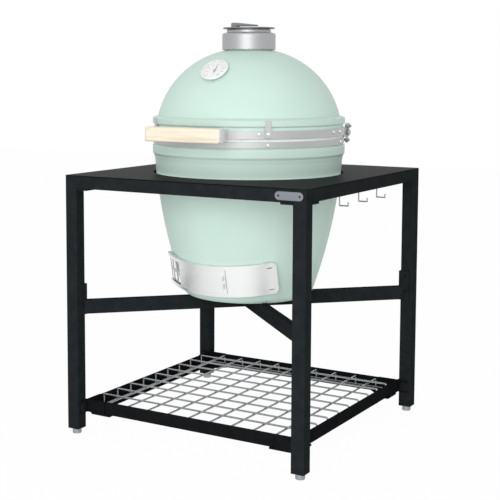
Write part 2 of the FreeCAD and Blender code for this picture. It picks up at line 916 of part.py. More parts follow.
def make_dome():
    """Ceramic dome with its lip, the throat and the collar for the vent cap."""
    wall = S.dome_wall
    arc = S.dome_arc_radius
    skirt = dome_bottom + S.dome_skirt
    lip_low = skirt + 4
    lip_high = lip_low + S.dome_lip_height
    shoulder = parting + S.dome_shoulder + 5.6
    shoulder_r = S.dome_arc_offset + root(arc * arc - (shoulder - dome_centre) * (shoulder - dome_centre))
    neck_r = S.collar_radius + 16
    neck_z = dome_height(neck_r, arc)
    collar_top = neck_z + S.collar_height
    inside_r = inner_rim - 6
    shell = turned_solid("dome_blank", [
        (inner_rim, dome_bottom),
        (S.rim_radius, dome_bottom),
        (S.rim_radius, skirt),
        (S.lip_radius, lip_low),
        (S.lip_radius, lip_high),
        (S.lip_radius - 3, lip_high + 2.2),
        (shoulder_r, shoulder),
        (neck_r, neck_z, arc, 1),
        (S.collar_radius, neck_z + 4),
        (S.collar_radius, collar_top),
        (S.throat_radius, collar_top),
        (S.throat_radius, dome_height(S.throat_radius, arc - wall)),
        (inside_r, dome_height(inside_r, arc - wall), arc - wall, -1),
        (inner_rim, skirt - 4),
    ])
    hole = cylinder("probe_hole", S.probe_radius + 0.4, 80)
    place(hole, dial_point(-60), ACROSS, dial_tilt())
    node("dome_shell", cut("dome_shell", shell, [hole]))
    return neck_z, collar_top


def dial_tilt():
    """Lean of the thermometer from upright, square to the dome."""
    return arcsine((S.dial_reach - S.dome_arc_offset) / S.dome_arc_radius)


def dial_point(out):
    """Point on the thermometer's axis, a distance out from the dome."""
    across = (S.dial_reach - S.dome_arc_offset) / S.dome_arc_radius
    reach = S.dial_reach + across * out
    rise = dome_height(S.dial_reach, S.dome_arc_radius) + cosine(dial_tilt()) * out
    return (0, -reach, rise)


def make_gaskets():
    """Felt rings glued to the rims."""
    for name, low in (("base_gasket", parting),
                      ("dome_gasket", dome_bottom - S.gasket_thickness)):
        high = low + S.gasket_thickness
        outer = S.rim_radius - 1
        node(name, turned_solid(name, [(inner_rim + 1, low), (outer, low), (outer, high),
                                       (inner_rim + 1, high)]))


def make_fire_parts():
    """Fire box, fire ring, fire grate and cooking grid, stacked inside the base."""
    floor = cross_top + S.base_floor
    wall = S.fire_box_wall
    box_top = floor + S.fire_box_height
    inner_floor = floor + S.fire_box_floor
    lean = (S.fire_box_top_radius - S.fire_box_bottom_radius) / S.fire_box_height
    inner_low = S.fire_box_bottom_radius + lean * S.fire_box_floor - wall
    bowl = turned_solid("fire_box_blank", [
        (0, floor), (S.fire_box_bottom_radius, floor), (S.fire_box_top_radius, box_top),
        (S.fire_box_top_radius - wall, box_top), (inner_low, inner_floor), (0, inner_floor)])
    low = floor + 8
    window = box("ash_port", (-62, -240, low), (32, -90, low + S.fire_grate_height - 14))
    node("fire_box", cut("fire_box", bowl, [window]))

    ring_top = box_top + S.fire_ring_height
    ring_low = S.fire_ring_radius - S.fire_ring_wall
    node("fire_ring", turned_solid("fire_ring", [
        (ring_low, box_top), (S.fire_ring_radius, box_top), (S.fire_ring_radius, ring_top),
        (ring_low, ring_top)]))

    grate_z = floor + S.fire_grate_height
    grate_top = inner_low + lean * (S.fire_grate_height - S.fire_box_floor) - S.bolt_gap
    disc = turned_solid("fire_grate_blank", [
        (0, grate_z), (grate_top, grate_z),
        (grate_top + lean * S.fire_grate_thickness, grate_z + S.fire_grate_thickness),
        (0, grate_z + S.fire_grate_thickness)])
    holes = [cylinder("air_hole", 9, S.fire_grate_thickness + 2, (0, 0, grate_z - 1))]
    for count, share in ((6, 0.28), (12, 0.56), (18, 0.84)):
        reach = S.fire_box_bottom_radius * share
        for step in range(count):
            turn = 2 * math.pi * step / count
            at = (reach * math.cos(turn), reach * math.sin(turn), grate_z - 1)
            holes.append(cylinder("air_hole", 9, S.fire_grate_thickness + 2, at))
    node("fire_grate", cut("fire_grate", disc, holes))

    wire = S.cooking_wire_radius
    height = ring_top + S.running_gap + wire
    radius = S.cooking_grid_radius - wire
    bars = [ring("grid_ring", radius, wire, (0, 0, height))]
    count = int((radius.number - 8) / S.cooking_bar_pitch.number)
    for step in range(-count, count + 1):
        x = S.cooking_bar_pitch * step
        reach = root(radius * radius - x * x)
        bars.append(cylinder("grid_bar", S.cooking_bar_radius, reach * 2, (x, -reach, height), "Y"))
    across = radius * 0.5
    reach = root(radius * radius - across * across)
    drop = height - wire + S.cooking_bar_radius
    for sign in (1, -1):
        bars.append(cylinder("grid_stay", S.cooking_bar_radius, reach * 2,
                             (-reach, across * sign, drop), "X"))
    node("cooking_grid", fuse("cooking_grid", bars))


def swung(thing, angle):
    """A placed piece, turned as a whole about the Z axis."""
    return place(group(thing.Name + "_swung", [thing]), angle=angle)


def radial_bolt(name, angle, height):
    """Small bolt through a band, pointing at the grill's axis."""
    head = cylinder("head", S.band_bolt_head, 3.5, (0, -band_outside - 3.5, height), "Y")
    shank = cylinder("shank", S.band_bolt_radius, S.band_thickness, (0, -band_outside, height), "Y")
    return place(fuse(name, [head, shank]), angle=angle)


def radial_hole(angle, height):
    """Hole for such a bolt."""
    radius = S.band_bolt_radius + S.bolt_gap
    at = (0, -band_outside - 1, height)
    return swung(cylinder("bolt_hole", radius, S.band_thickness + 2, at, "Y"), angle)


upper_band_low = dome_bottom + 1
lower_band_high = parting - S.lower_band_drop
upper_bolt_height = upper_band_low + S.upper_band_height * 0.6
lower_bolt_height = lower_band_high - S.lower_band_height / 2


def make_bands():
    """Steel bands clamped round both rims, with their bolts and the clips over the dome's lip."""
    upper_angles = [S.band_bolt_angle, -S.band_bolt_angle]
    lower_angles = [S.clip_angle, -S.clip_angle]
    rows = (("upper_band", upper_band_low, S.upper_band_height, upper_angles, upper_bolt_height),
            ("lower_band", lower_band_high - S.lower_band_height, S.lower_band_height,
             lower_angles, lower_bolt_height))
    for name, low, height, angles, level in rows:
        strap = turned_solid(name + "_blank", [
            (band_radius, low), (band_outside, low), (band_outside, low + height),
            (band_radius, low + height)])
        holes = [radial_hole(angle, level) for angle in angles]
        node(name, cut(name, strap, holes))
        bolts = [radial_bolt("band_bolt", angle, level) for angle in angles]
        node(name + "_bolts", group(name + "_bolts", bolts))

    face = band_outside + 0.1
    lip = S.lip_radius + S.running_gap
    low = upper_band_low + 3
    step = dome_bottom + S.dome_skirt
    top = step + S.clip_rise - 6
    clips = []
    for angle in (S.clip_angle, -S.clip_angle):
        body = new_body("lid_clip", angle=angle - 90)
        drawing = new_sketch(body, "XZ_Plane", -S.clip_width / 2)
        outline(drawing, [(face, low), (lip + 2, low), (lip + 2, top), (lip, top),
                          (lip, step), (face, step - 4)])
        clips.append(pad(body, drawing, S.clip_width))
    node("lid_clips", group("lid_clips", clips))


def hinge_arm(name, offset, sign, low, high):
    """Flat arm from a band to the hinge pin, with a round lug."""
    thick = S.hinge_arm_thickness
    x = offset if sign > 0 else -offset - thick
    reach = S.hinge_reach
    lug = S.hinge_lug_radius
    body = new_body(name)
    drawing = new_sketch(body, "YZ_Plane", x)
    start = reach - 110
    outline(drawing, [(start, low), (reach, dome_centre - lug),
                      (reach + lug, dome_centre, lug, 1), (reach, dome_centre + lug, lug, 1),
                      (start, high)])
    circles(drawing, ((reach, dome_centre),), S.hinge_pin_radius + S.pin_gap)
    pad(body, drawing, thick)
    tall = lug * 2 + S.upper_band_height * 2 + S.lower_band_height * 2
    round_cut = circles(new_sketch(body, "XY_Plane", dome_centre + tall / 2), ((0, 0),),
                        band_outside)
    return pocket(body, round_cut, tall)


def studded(arm, offset, nut_at, sign, along, up):
    """The arm with an ear on its edge, and a stud and nut that stand out from the ear."""
    pieces = [arm]
    for name, radius, start, end in (
            ("ear", S.hinge_ear_radius, offset, offset + S.hinge_arm_thickness),
            ("stud", S.hinge_stud_radius, offset, S.hinge_stud_end),
            ("nut", S.hinge_ear_radius - 0.5, nut_at, nut_at + 5)):
        x = start if sign > 0 else -end
        pieces.append(cylinder(name, radius, end - start, (x, along, up), "X"))
    return fuse(arm.Name + "_studded", pieces)


def make_hinge():
    """One long pin behind the grill, arms from both bands, each with a stud and nut, and two
    coiled springs on the pin."""
    lower_low = lower_band_high - S.lower_band_height
    upper_high = upper_band_low + S.upper_band_height
    lower_x = S.hinge_lower_offset
    upper_x = S.hinge_upper_offset
    upper_face = upper_x + S.hinge_arm_thickness
    lower = []
    upper = []
    for sign in (1, -1):
        arm = hinge_arm("hinge_arm_lower", lower_x, sign, lower_low, lower_band_high)
        lower.append(studded(arm, lower_x, upper_face + 1, sign, S.hinge_reach - 12,
                             dome_centre - 21.8))
        arm = hinge_arm("hinge_arm_upper", upper_x, sign, upper_band_low, upper_high)
        upper.append(studded(arm, upper_x, upper_face, sign, S.hinge_reach, dome_centre + 20))
    node("hinge_arms_lower", group("hinge_arms_lower", lower))
    node("hinge_arms_upper", group("hinge_arms_upper", upper))
    end = S.hinge_upper_offset + S.hinge_arm_thickness + 1
    reach = S.hinge_reach
    pieces = [cylinder("pin", S.hinge_pin_radius, end * 2, (-end, reach, dome_centre), "X")]
    for start in (end, -end - 5):
        pieces.append(cylinder("nut", S.hinge_pin_radius + 4, 5, (start, reach, dome_centre), "X"))
    node("hinge_pin", fuse("hinge_pin", pieces))
    wire = S.spring_wire
    radius = S.hinge_pin_radius + wire + 0.3
    coils = []
    for sign in (1, -1):
        turns = []
        for step in range(12):
            x = (S.hinge_lower_offset - wire - wire * 1.9 * step) * sign
            turns.append(ring("turn", radius, wire, (x, reach, dome_centre), "X"))
        coils.append(fuse("hinge_spring", turns))
    node("hinge_springs", group("hinge_springs", coils))


def grip_bar(name, start, length, inset):
    """A length of the grip's section, a rectangle with rounded corners, smaller by an inset."""
    middle = dome_centre + S.grip_rise
    wide = S.grip_depth / 2 - inset
    tall = S.grip_height / 2 - inset
    body = new_body(name)
    drawing = new_sketch(body, "YZ_Plane", start)
    outline(drawing, rounded(-S.grip_reach - wide, middle - tall, wide - S.grip_reach,
                             middle + tall, S.grip_corner - inset))
    return pad(body, drawing, length)


def make_handle():
    """Wooden grip in front of the dome, on two posts from the upper band, with a steel plate
    screwed to each end."""
    end = S.grip_length / 2
    node("handle_grip", grip_bar("handle_grip", -end, S.grip_length, 0))
    height = dome_centre + S.grip_rise
    back = S.grip_depth / 2 - S.grip_reach
    tall = S.grip_post_height / 2
    wide = S.grip_post_width / 2
    posts = []
    caps = []
    for sign in (1, -1):
        middle = S.grip_post_offset * sign
        post = box("post_blank", (middle - wide, back, height - tall),
                   (middle + wide, 40 - band_outside, height + tall))
        seat = cylinder("band_seat", band_outside, tall * 6, (0, 0, height - tall * 3))
        posts.append(cut("handle_post", post, [seat]))
        thick = S.grip_cap_thickness
        start = end if sign > 0 else -end - thick
        screw = end + thick if sign > 0 else -end - thick - 1.5
        caps.append(fuse("grip_end", [
            grip_bar("grip_plate", start, thick, S.grip_cap_inset),
            cylinder("plate_screw_head", 4, 1.5, (screw, -S.grip_reach, height), "X")]))
    node("handle_brackets", group("handle_brackets", posts))
    node("handle_caps", group("handle_caps", caps))


def make_vent(neck_z, collar_top):
    """Vent cap on the dome's collar: a turning plate with holes under a cover that swings."""
    low = neck_z + 5.6
    inside = S.collar_radius + S.running_gap
    web = collar_top + S.running_gap
    shoulder = low + S.vent_height
    neck_top = shoulder + S.vent_neck_height
    bore = S.throat_radius
    body = turned_solid("vent_blank", [
        (inside, low), (S.vent_radius, low), (S.vent_radius, shoulder - 4),
        (S.vent_radius - 3.3, shoulder), (S.vent_neck_radius, shoulder + 1.5),
        (S.vent_neck_radius, neck_top), (bore, neck_top), (bore, web), (inside, web)])
    pin_y = S.vent_pin_reach
    plate_low = neck_top + S.running_gap
    plate_high = plate_low + S.vent_plate_thickness
    cover_low = plate_high + S.running_gap * 2
    cover_high = cover_low + S.vent_cover_thickness
    boss_low = shoulder - 6
    boss = cylinder("pin_boss", S.vent_pin_radius + 4, cover_low - S.running_gap - boss_low,
                    (0, pin_y, boss_low))
    pin_hole = cylinder("pin_hole", S.vent_pin_radius + S.pin_gap, 60, (0, pin_y, boss_low + 4))
    node("vent_base", cut("vent_base", fuse("vent_body", [body, boss]), [pin_hole]))

    pin_low = boss_low + 4 + S.pin_gap
    node("vent_pin", fuse("vent_pin", [
        cylinder("shaft", S.vent_pin_radius, cover_high + 1 - pin_low, (0, pin_y, pin_low)),
        cylinder("pin_head", S.vent_pin_radius + 2.5, 2.5, (0, pin_y, cover_high + 1))]))

    radius = S.vent_plate_radius
    disc = turned_solid("vent_disc", [
        (0, plate_low), (radius, plate_low), (radius, plate_high), (0, plate_high)])
    collar = turned_solid("vent_collar", [
        (bore - 3, plate_low - 7), (bore - S.pin_gap, plate_low - 7),
        (bore - S.pin_gap, plate_low), (bore - 3, plate_low)])
    ear = box("ear", (-radius - 11, -5, plate_low), (2 - radius, 5, plate_high))
    holes = []
    for step in range(6):
        turn = math.pi * step / 3
        holes.append(cylinder("air_hole", 10, 12, (radius * 0.5 * math.cos(turn),
                                                   radius * 0.5 * math.sin(turn),
                                                   plate_low - 4)))
    node("vent_plate", cut("vent_plate", fuse("vent_wheel", [disc, collar, ear]), holes))

    lid = turned_solid("cover_disc", [
        (0, cover_low), (S.vent_cover_radius, cover_low),
        (S.vent_cover_radius, cover_high - 1), (S.vent_cover_radius - 1, cover_high),
        (0, cover_high)])
    lever = new_body("cover_lever")
    drawing = new_sketch(lever, "XZ_Plane", -11)
    top = cover_high + S.lever_height
    outline(drawing, [(-54, cover_high), (36, cover_high), (36, cover_high + 3),
                      (-40, top), (-54, top - 1)])
    pad(lever, drawing, 22)
    seat = cylinder("pin_seat", S.vent_pin_radius + S.pin_gap, 20, (0, pin_y, cover_low - 2))
    node("vent_cover", cut("vent_cover", fuse("cover_top", [lid, lever]), [seat]))


def make_thermometer():
    """Round dial thermometer square to the dome, with its probe through the shell."""
    tilt = dial_tilt()
    seat = dial_point(1.2)
    rim = S.case_radius
    hollow = rim - S.case_wall
    face = 1.8
    sheet_top = face + 0.8
    top = S.case_height
    node("thermometer_case", turned_solid("thermometer_case", [
        (0, -S.probe_length), (S.probe_radius, -S.probe_length), (S.probe_radius, 0),
        (rim - 2, 0), (rim, 2), (rim, top - 1.5), (rim - 1.5, top), (hollow, top),
        (hollow, face), (0, face)], seat, ACROSS, tilt))
    dial = hollow - S.bolt_gap
    node("thermometer_dial", turned_solid("thermometer_dial", [
        (0, face), (dial, face), (dial, sheet_top), (1.5, sheet_top), (1.5, sheet_top + 2),
        (0, sheet_top + 2)], seat, ACROSS, tilt))
    node("thermometer_glass", turned_solid("thermometer_glass", [
        (0, top - 2.5), (dial, top - 2.5), (dial, top - 1), (0, top - 1)], seat, ACROSS, tilt))
    low = sheet_top + 0.4
    hub = turned_solid("needle_hub", [(1.5 + S.pin_gap, low), (4, low), (4, low + 1),
                                      (1.5 + S.pin_gap, low + 1)])
    pointer = box("pointer", (-0.8, 3, low), (0.8, S.needle_length, low + 0.8))
    tail = box("tail", (-1.2, -9, low), (1.2, -3, low + 0.8))
    needle = fuse("thermometer_needle", [hub, pointer, tail])
    node("thermometer_needle", place(needle, seat, ACROSS, tilt))


def draft_sector(name, corners, start, sweep):
    """A piece bent round the leaning axis of the draft door. Start is measured from the front,
    positive to the right."""
    body = new_body(name, angle=start - 90)
    return revolve(body, outline(new_sketch(body, "XZ_Plane"), corners), sweep)


def make_draft():
    """Draft door: a channelled frame bent round the belly, a solid door and a slotted screen."""
    inside = S.draft_radius + S.running_gap
    outside = inside + S.draft_depth
    high = S.draft_band / 2
    sheet_t = S.draft_sheet
    end = S.draft_end_angle
    web = 2.5
    lip = high - S.draft_lip

    def block(low_r, high_r, low_z, high_z):
        return [(low_r, low_z), (high_r, low_z), (high_r, high_z), (low_r, high_z)]

    sweep = end * 2
    pieces = []
    for sign in (1, -1):
        # channel: web away from the panels, a lip in front of them and one behind
        bottom, top = (high - web, high) if sign > 0 else (-high, web - high)
        lip_low, lip_high = (lip, high) if sign > 0 else (-high, -lip)
        pieces.append(draft_sector("web", block(inside, outside, bottom, top), -end, sweep))
        pieces.append(draft_sector("front_lip", block(outside - sheet_t, outside, lip_low, lip_high),
                                   -end, sweep))
        pieces.append(draft_sector("back_lip", block(inside, inside + sheet_t, lip_low, lip_high),
                                   -end, sweep))
    front = block(outside - sheet_t, outside, -high, high)
    pieces.append(draft_sector("front_sheet", front, S.draft_seam_angle,
                               end - S.draft_seam_angle))
    pieces.append(draft_sector("end_wall", block(inside, outside, -high, high), end - 0.6, 0.6))
    # plate behind the panels and the sleeve that holds the frame in the port
    back = block(inside, inside + sheet_t, -high, high)
    pieces.append(draft_sector("back_plate", back, -19, 30))
    round_end = cylinder("sleeve_end", inside + sheet_t, S.draft_band, (0, 0, -high))
    pieces.append(common("sleeve", [port_box("sleeve_box", 0, 0, S.sleeve_depth), round_end]))
    tools = [port_box("air_way", sheet_t, 5, S.sleeve_depth + 1)]
    # rounded corners and two short slots at the right end
    curve = S.draft_corner
    deep = S.draft_depth + 4
    for sign in (1, -1):
        middle = (high - curve) * sign
        low, top = (middle, high + 1) if sign > 0 else (-high - 1, middle)
        block_off = box("corner_block", (-curve, -outside - 2, low), (6, deep - outside - 2, top))
        keep = cylinder("corner_round", curve, deep, (-curve, -outside - 2, middle), "Y")
        tools.append(swung(cut("corner_cutter", block_off, [keep]), end))
        level = (high - curve) * sign
        slit = box("end_slot", (-7, -outside - 1, level - 1.2),
                   (7, sheet_t + 0.5 - outside, level + 1.2))
        tools.append(swung(slit, end - 4.5))
    node("draft_frame", lean(cut("draft_frame", fuse("frame_solid", pieces), tools)))

    gap = S.running_gap
    panel = high - web - gap
    door_r = outside - sheet_t - gap
    door = draft_sector("door_sheet", block(door_r - sheet_t, door_r, -panel, panel),
                        S.draft_seam_angle - 0.4 - S.door_angle, S.door_angle)
    tabs = []
    for low_z in (4, -20):
        tab = box("pull_tab", (-1.2, -door_r - 10, low_z), (1.2, 0.5 - door_r, low_z + 16))
        tabs.append(swung(tab, S.draft_seam_angle - 2))
    node("draft_door", lean(fuse("draft_door", [door] + tabs)))

    screen_r = door_r - sheet_t - gap * 2
    screen = draft_sector("screen_sheet", block(screen_r - sheet_t, screen_r, -panel, panel),
                          -S.screen_start, S.screen_angle)
    slots = []
    for column in range(6):
        for low_z in (-33, 5):
            slot = box("slot", (-8, -screen_r - 2, low_z), (8, 4 - screen_r, low_z + 28))
            slots.append(swung(slot, S.screen_angle * (column + 0.5) / 6 - S.screen_start))
    node("draft_screen", lean(cut("draft_screen", screen, slots)))


def check_all():
    """Stops if any object failed or any sub-part is not a sound solid."""
    for thing in doc.Objects:
        if "Invalid" in thing.State or "Error" in thing.State:
            raise RuntimeError("failed object: " + thing.Label)
    for name, thing in nodes.items():
        if thing.Shape.isNull() or not thing.Shape.isValid() or not thing.Shape.Solids:
            raise RuntimeError("unsound sub-part: " + name)


make_legs()
make_rails()
make_top()
make_corner_plates()
make_feet()
make_cross()
make_shelf()
make_shelf_grid()
make_hooks()
make_name_plate()
make_base()
dome_neck, dome_collar_top = make_dome()
make_gaskets()
make_fire_parts()
make_bands()
make_hinge()
make_handle()
make_vent(dome_neck, dome_collar_top)
make_thermometer()
make_draft()
doc.recompute()
check_all()
for name, thing in nodes.items():
    thing.Shape.exportStep("parts/%s.step" % name)
    print(name, len(thing.Shape.Solids), round(thing.Shape.Volume))
print(len(nodes), "nodes")
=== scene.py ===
# %% [markdown]
# # A kamado grill in its steel table
# The imported CAD model is the frame of this scene: every tube, bolt, hinge and ceramic shell already
# stands where it belongs, in metres, with the origin on the floor under the table. Blender adds
# what CAD leaves out: finishes, the wire shelf with its soft bends, coiled springs, bolt heads with
# sockets and the marks on the dial. Nothing added later may make the object larger.

# %% Load the frame
import math

import bmesh
import bpy
from mathutils import Matrix, Vector


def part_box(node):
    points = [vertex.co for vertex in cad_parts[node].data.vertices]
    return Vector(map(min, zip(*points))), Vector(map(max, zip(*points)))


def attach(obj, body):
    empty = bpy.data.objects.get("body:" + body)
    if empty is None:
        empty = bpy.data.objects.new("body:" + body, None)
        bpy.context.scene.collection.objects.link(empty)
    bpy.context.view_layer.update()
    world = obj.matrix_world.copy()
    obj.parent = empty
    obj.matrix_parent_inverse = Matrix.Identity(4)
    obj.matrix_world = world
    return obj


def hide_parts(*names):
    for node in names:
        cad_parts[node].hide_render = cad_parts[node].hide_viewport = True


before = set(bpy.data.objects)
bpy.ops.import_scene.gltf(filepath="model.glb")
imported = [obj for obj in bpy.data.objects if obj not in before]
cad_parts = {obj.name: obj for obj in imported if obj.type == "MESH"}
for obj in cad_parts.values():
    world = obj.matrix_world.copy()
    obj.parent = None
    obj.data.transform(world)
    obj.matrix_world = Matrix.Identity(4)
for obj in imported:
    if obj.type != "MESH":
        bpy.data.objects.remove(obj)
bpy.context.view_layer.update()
scene = bpy.context.scene

# %% [markdown]
# ## Camera
# A catalogue camera sees upright edges nearly parallel, because the photographer shifts the
# picture instead of tilting the camera. A shift also stays with the camera in every other view,
# where a large one would push the grill out of the frame. So this camera looks down by a few
# degrees and shifts only the rest. The numbers come from fitting a camera to the corners of the
# table, the feet and the rims of the grill.


# %% A helper that puts new things into the scene
def show(name, data):
    """Puts a mesh, lamp, camera or text into the scene as an object."""
    thing = bpy.data.objects.new(name, data)
    scene.collection.objects.link(thing)
    return thing


# %% A camera that looks down a little, with a modest shift
PICTURE = 500
FOCAL = 1161.25
MIDDLE_X, MIDDLE_Y = 190, 185
LOOKS_DOWN, LOOKS_LEFT = 5.651, 32.302
camera_data = bpy.data.cameras.new("catalogue_camera")
camera_data.sensor_width = 36
camera_data.lens = FOCAL / PICTURE * camera_data.sensor_width
camera_data.shift_x = (PICTURE / 2 - MIDDLE_X) / PICTURE
camera_data.shift_y = (MIDDLE_Y - PICTURE / 2) / PICTURE
camera = show("catalogue_camera", camera_data)
camera.location = (1.6690, -2.9597, 1.0452)
camera.rotation_euler = (math.radians(90 - LOOKS_DOWN), 0, math.radians(LOOKS_LEFT))
scene.camera = camera
print("lens", round(camera_data.lens, 2), "mm")

# %% [markdown]
# ## Light, floor and background
# The table is nearly black and the grill is pale, so the light has to be soft and plain. The world
# fills in from everywhere. A large lamp stands low in front, so that its light also gets in under
# the table top, and a weak one hangs overhead. The white background is only what the camera and the
# reflections see: the light path tells those rays apart, so the object isn't lit by it. The floor
# does the same, and lights the object like a sheet of white paper.

# %% World
scene.view_settings.view_transform = "Standard"
WHITE = (1, 1, 1, 1)
WORLD_FILL = 0.62


def white_for_the_eye(tree):
    """1 for camera, glossy and transmission rays, 0 for light that only fills in."""
    path = tree.nodes.new("ShaderNodeLightPath")
    seen = path.outputs["Is Camera Ray"]
    for name in ("Is Glossy Ray", "Is Transmission Ray"):
        either = tree.nodes.new("ShaderNodeMath")
        either.operation = "MAXIMUM"
        tree.links.new(seen, either.inputs[0])
        tree.links.new(path.outputs[name], either.inputs[1])
        seen = either.outputs[0]
    return seen


world = bpy.data.worlds.new("studio")
scene.world = world
world.use_nodes = True
backdrop = world.node_tree
fill = backdrop.nodes["Background"]
fill.inputs["Color"].default_value = WHITE
fill.inputs["Strength"].default_value = WORLD_FILL
seen_white = backdrop.nodes.new("ShaderNodeBackground")
seen_white.inputs["Color"].default_value = WHITE
seen_white.inputs["Strength"].default_value = 1.0
choose = backdrop.nodes.new("ShaderNodeMixShader")
backdrop.links.new(white_for_the_eye(backdrop), choose.inputs[0])
backdrop.links.new(fill.outputs[0], choose.inputs[1])
backdrop.links.new(seen_white.outputs[0], choose.inputs[2])
backdrop.links.new(choose.outputs[0], backdrop.nodes["World Output"].inputs["Surface"])
print("world fill", WORLD_FILL)


# %% Floor
def shape(name, points, faces):
    """A mesh from points and faces, with faulty faces taken out."""
    mesh = bpy.data.meshes.new(name)
    mesh.from_pydata(points, [], faces)
    mesh.validate()
    return mesh


FLOOR_HALF = 9
FLOOR_WHITENESS = 0.975
floor_mesh = shape("studio_floor", [(-FLOOR_HALF, -FLOOR_HALF, 0), (FLOOR_HALF, -FLOOR_HALF, 0),
                                    (FLOOR_HALF, FLOOR_HALF, 0), (-FLOOR_HALF, FLOOR_HALF, 0)],
                   [(0, 1, 2, 3)])
floor = show("studio_floor", floor_mesh)
paper = bpy.data.materials.new("studio_paper")
paper.use_nodes = True
paper_tree = paper.node_tree
matt = paper_tree.nodes["Principled BSDF"]
matt.inputs["Base Color"].default_value = (0.9, 0.9, 0.9, 1)
matt.inputs["Roughness"].default_value = 0.9
glow = paper_tree.nodes.new("ShaderNodeEmission")
glow.inputs["Strength"].default_value = 1.0
share = paper_tree.nodes.new("ShaderNodeMath")
share.operation = "MULTIPLY"
share.inputs[1].default_value = FLOOR_WHITENESS
paper_tree.links.new(white_for_the_eye(paper_tree), share.inputs[0])
blend = paper_tree.nodes.new("ShaderNodeMixShader")
paper_tree.links.new(share.outputs[0], blend.inputs[0])
paper_tree.links.new(matt.outputs[0], blend.inputs[1])
paper_tree.links.new(glow.outputs[0], blend.inputs[2])
paper_tree.links.new(blend.outputs[0], paper_tree.nodes["Material Output"].inputs["Surface"])
floor_mesh.materials.append(paper)
print("floor", FLOOR_HALF * 2, "m wide")

# %% Lamps, each with its place, side in metres and power in watts
LAMP_TARGET = Vector((0, 0, 0.6))
LAMPS = (
    ("front_panel", (1.4, -4.0, 1.55), 3.0, 94),
    ("overhead_panel", (-0.2, -0.2, 3.6), 2.6, 6),
)
for name, place, side, power in LAMPS:
    lamp_data = bpy.data.lights.new(name, "AREA")
    lamp_data.shape = "SQUARE"
    lamp_data.size = side
    lamp_data.energy = power
    lamp = show(name, lamp_data)
    lamp.location = place
    lamp.rotation_euler = (LAMP_TARGET - lamp.location).to_track_quat("-Z", "Y").to_euler()
print(len(LAMPS), "lamps")

# %% [markdown]
# ## Finishes
# A real surface is never one flat colour: powder coat has a fine grain, brushed steel has long
# streaks, glaze has shallow dimples. All of these are noise patterns read in Object coordinates,
# which are metres here, so a noise scale of 1000 gives a grain of about a millimetre. A small desk
# of helpers keeps each finish short: one adds noise, one turns it into colour and one into bumps.

# %% Helpers for node materials
def new_finish(name, colour, roughness, metallic=0.0, specular=0.5):
    """A material with its even values set on the shader itself."""
    material = bpy.data.materials.new(name)
    material.use_nodes = True
    shader = material.node_tree.nodes["Principled BSDF"]
    shader.inputs["Base Color"].default_value = (*colour, 1)
    shader.inputs["Roughness"].default_value = roughness
    shader.inputs["Metallic"].default_value = metallic
    shader.inputs["Specular IOR Level"].default_value = specular
    return material, material.node_tree, shader


def grain(tree, scale, stretch=(1, 1, 1), detail=4.0, roughness=0.55):
    """Noise in the object's own metres, drawn out by stretch."""
    place = tree.nodes.new("ShaderNodeTexCoord")
    mapping = tree.nodes.new("ShaderNodeMapping")
    mapping.inputs["Scale"].default_value = stretch
    noise = tree.nodes.new("ShaderNodeTexNoise")
    noise.inputs["Scale"].default_value = scale
    noise.inputs["Detail"].default_value = detail
    noise.inputs["Roughness"].default_value = roughness
    tree.links.new(place.outputs["Object"], mapping.inputs["Vector"])
    tree.links.new(mapping.outputs["Vector"], noise.inputs["Vector"])
    return noise.outputs["Fac"]


def tint(tree, pattern, shader, stops):
    """Colours a pattern by (position, colour) stops and feeds the shader. Gives the colour."""
    ramp = tree.nodes.new("ShaderNodeValToRGB")
    while len(ramp.color_ramp.elements) < len(stops):
        ramp.color_ramp.elements.new(0.5)
    for element, (position, colour) in zip(ramp.color_ramp.elements, stops):
        element.position = position
        element.color = (*colour, 1)
    tree.links.new(pattern, ramp.inputs["Fac"])
    tree.links.new(ramp.outputs["Color"], shader.inputs["Base Color"])
    return ramp.outputs["Color"]


def sheen_range(tree, pattern, shader, low, high):
    """Lets a pattern move the shader's roughness between two values."""
    spread = tree.nodes.new("ShaderNodeMapRange")
    spread.inputs["From Min"].default_value = 0.3
    spread.inputs["From Max"].default_value = 0.7
    spread.inputs["To Min"].default_value = low
    spread.inputs["To Max"].default_value = high
    tree.links.new(pattern, spread.inputs["Value"])
    tree.links.new(spread.outputs["Result"], shader.inputs["Roughness"])


def relief(tree, pattern, shader, depth, strength, below=None):
    """Bumps of a real depth in metres, on top of a softer normal if one is given."""
    bump = tree.nodes.new("ShaderNodeBump")
    bump.inputs["Strength"].default_value = strength
    bump.inputs["Distance"].default_value = depth
    tree.links.new(pattern, bump.inputs["Height"])
    if below is not None:
        tree.links.new(below, bump.inputs["Normal"])
    tree.links.new(bump.outputs["Normal"], shader.inputs["Normal"])


def soft_edges(tree, radius):
    """A normal that rounds the sharp edges of a CAD mesh by a radius, so that they catch light."""
    edge = tree.nodes.new("ShaderNodeBevel")
    edge.samples = 4
    edge.inputs["Radius"].default_value = radius
    return edge.outputs["Normal"]


def dress(material, *names):
    """Gives a finish to CAD nodes."""
    for name in names:
        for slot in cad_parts[name].material_slots:
            slot.material = material
    print(material.name, "on", ", ".join(names))
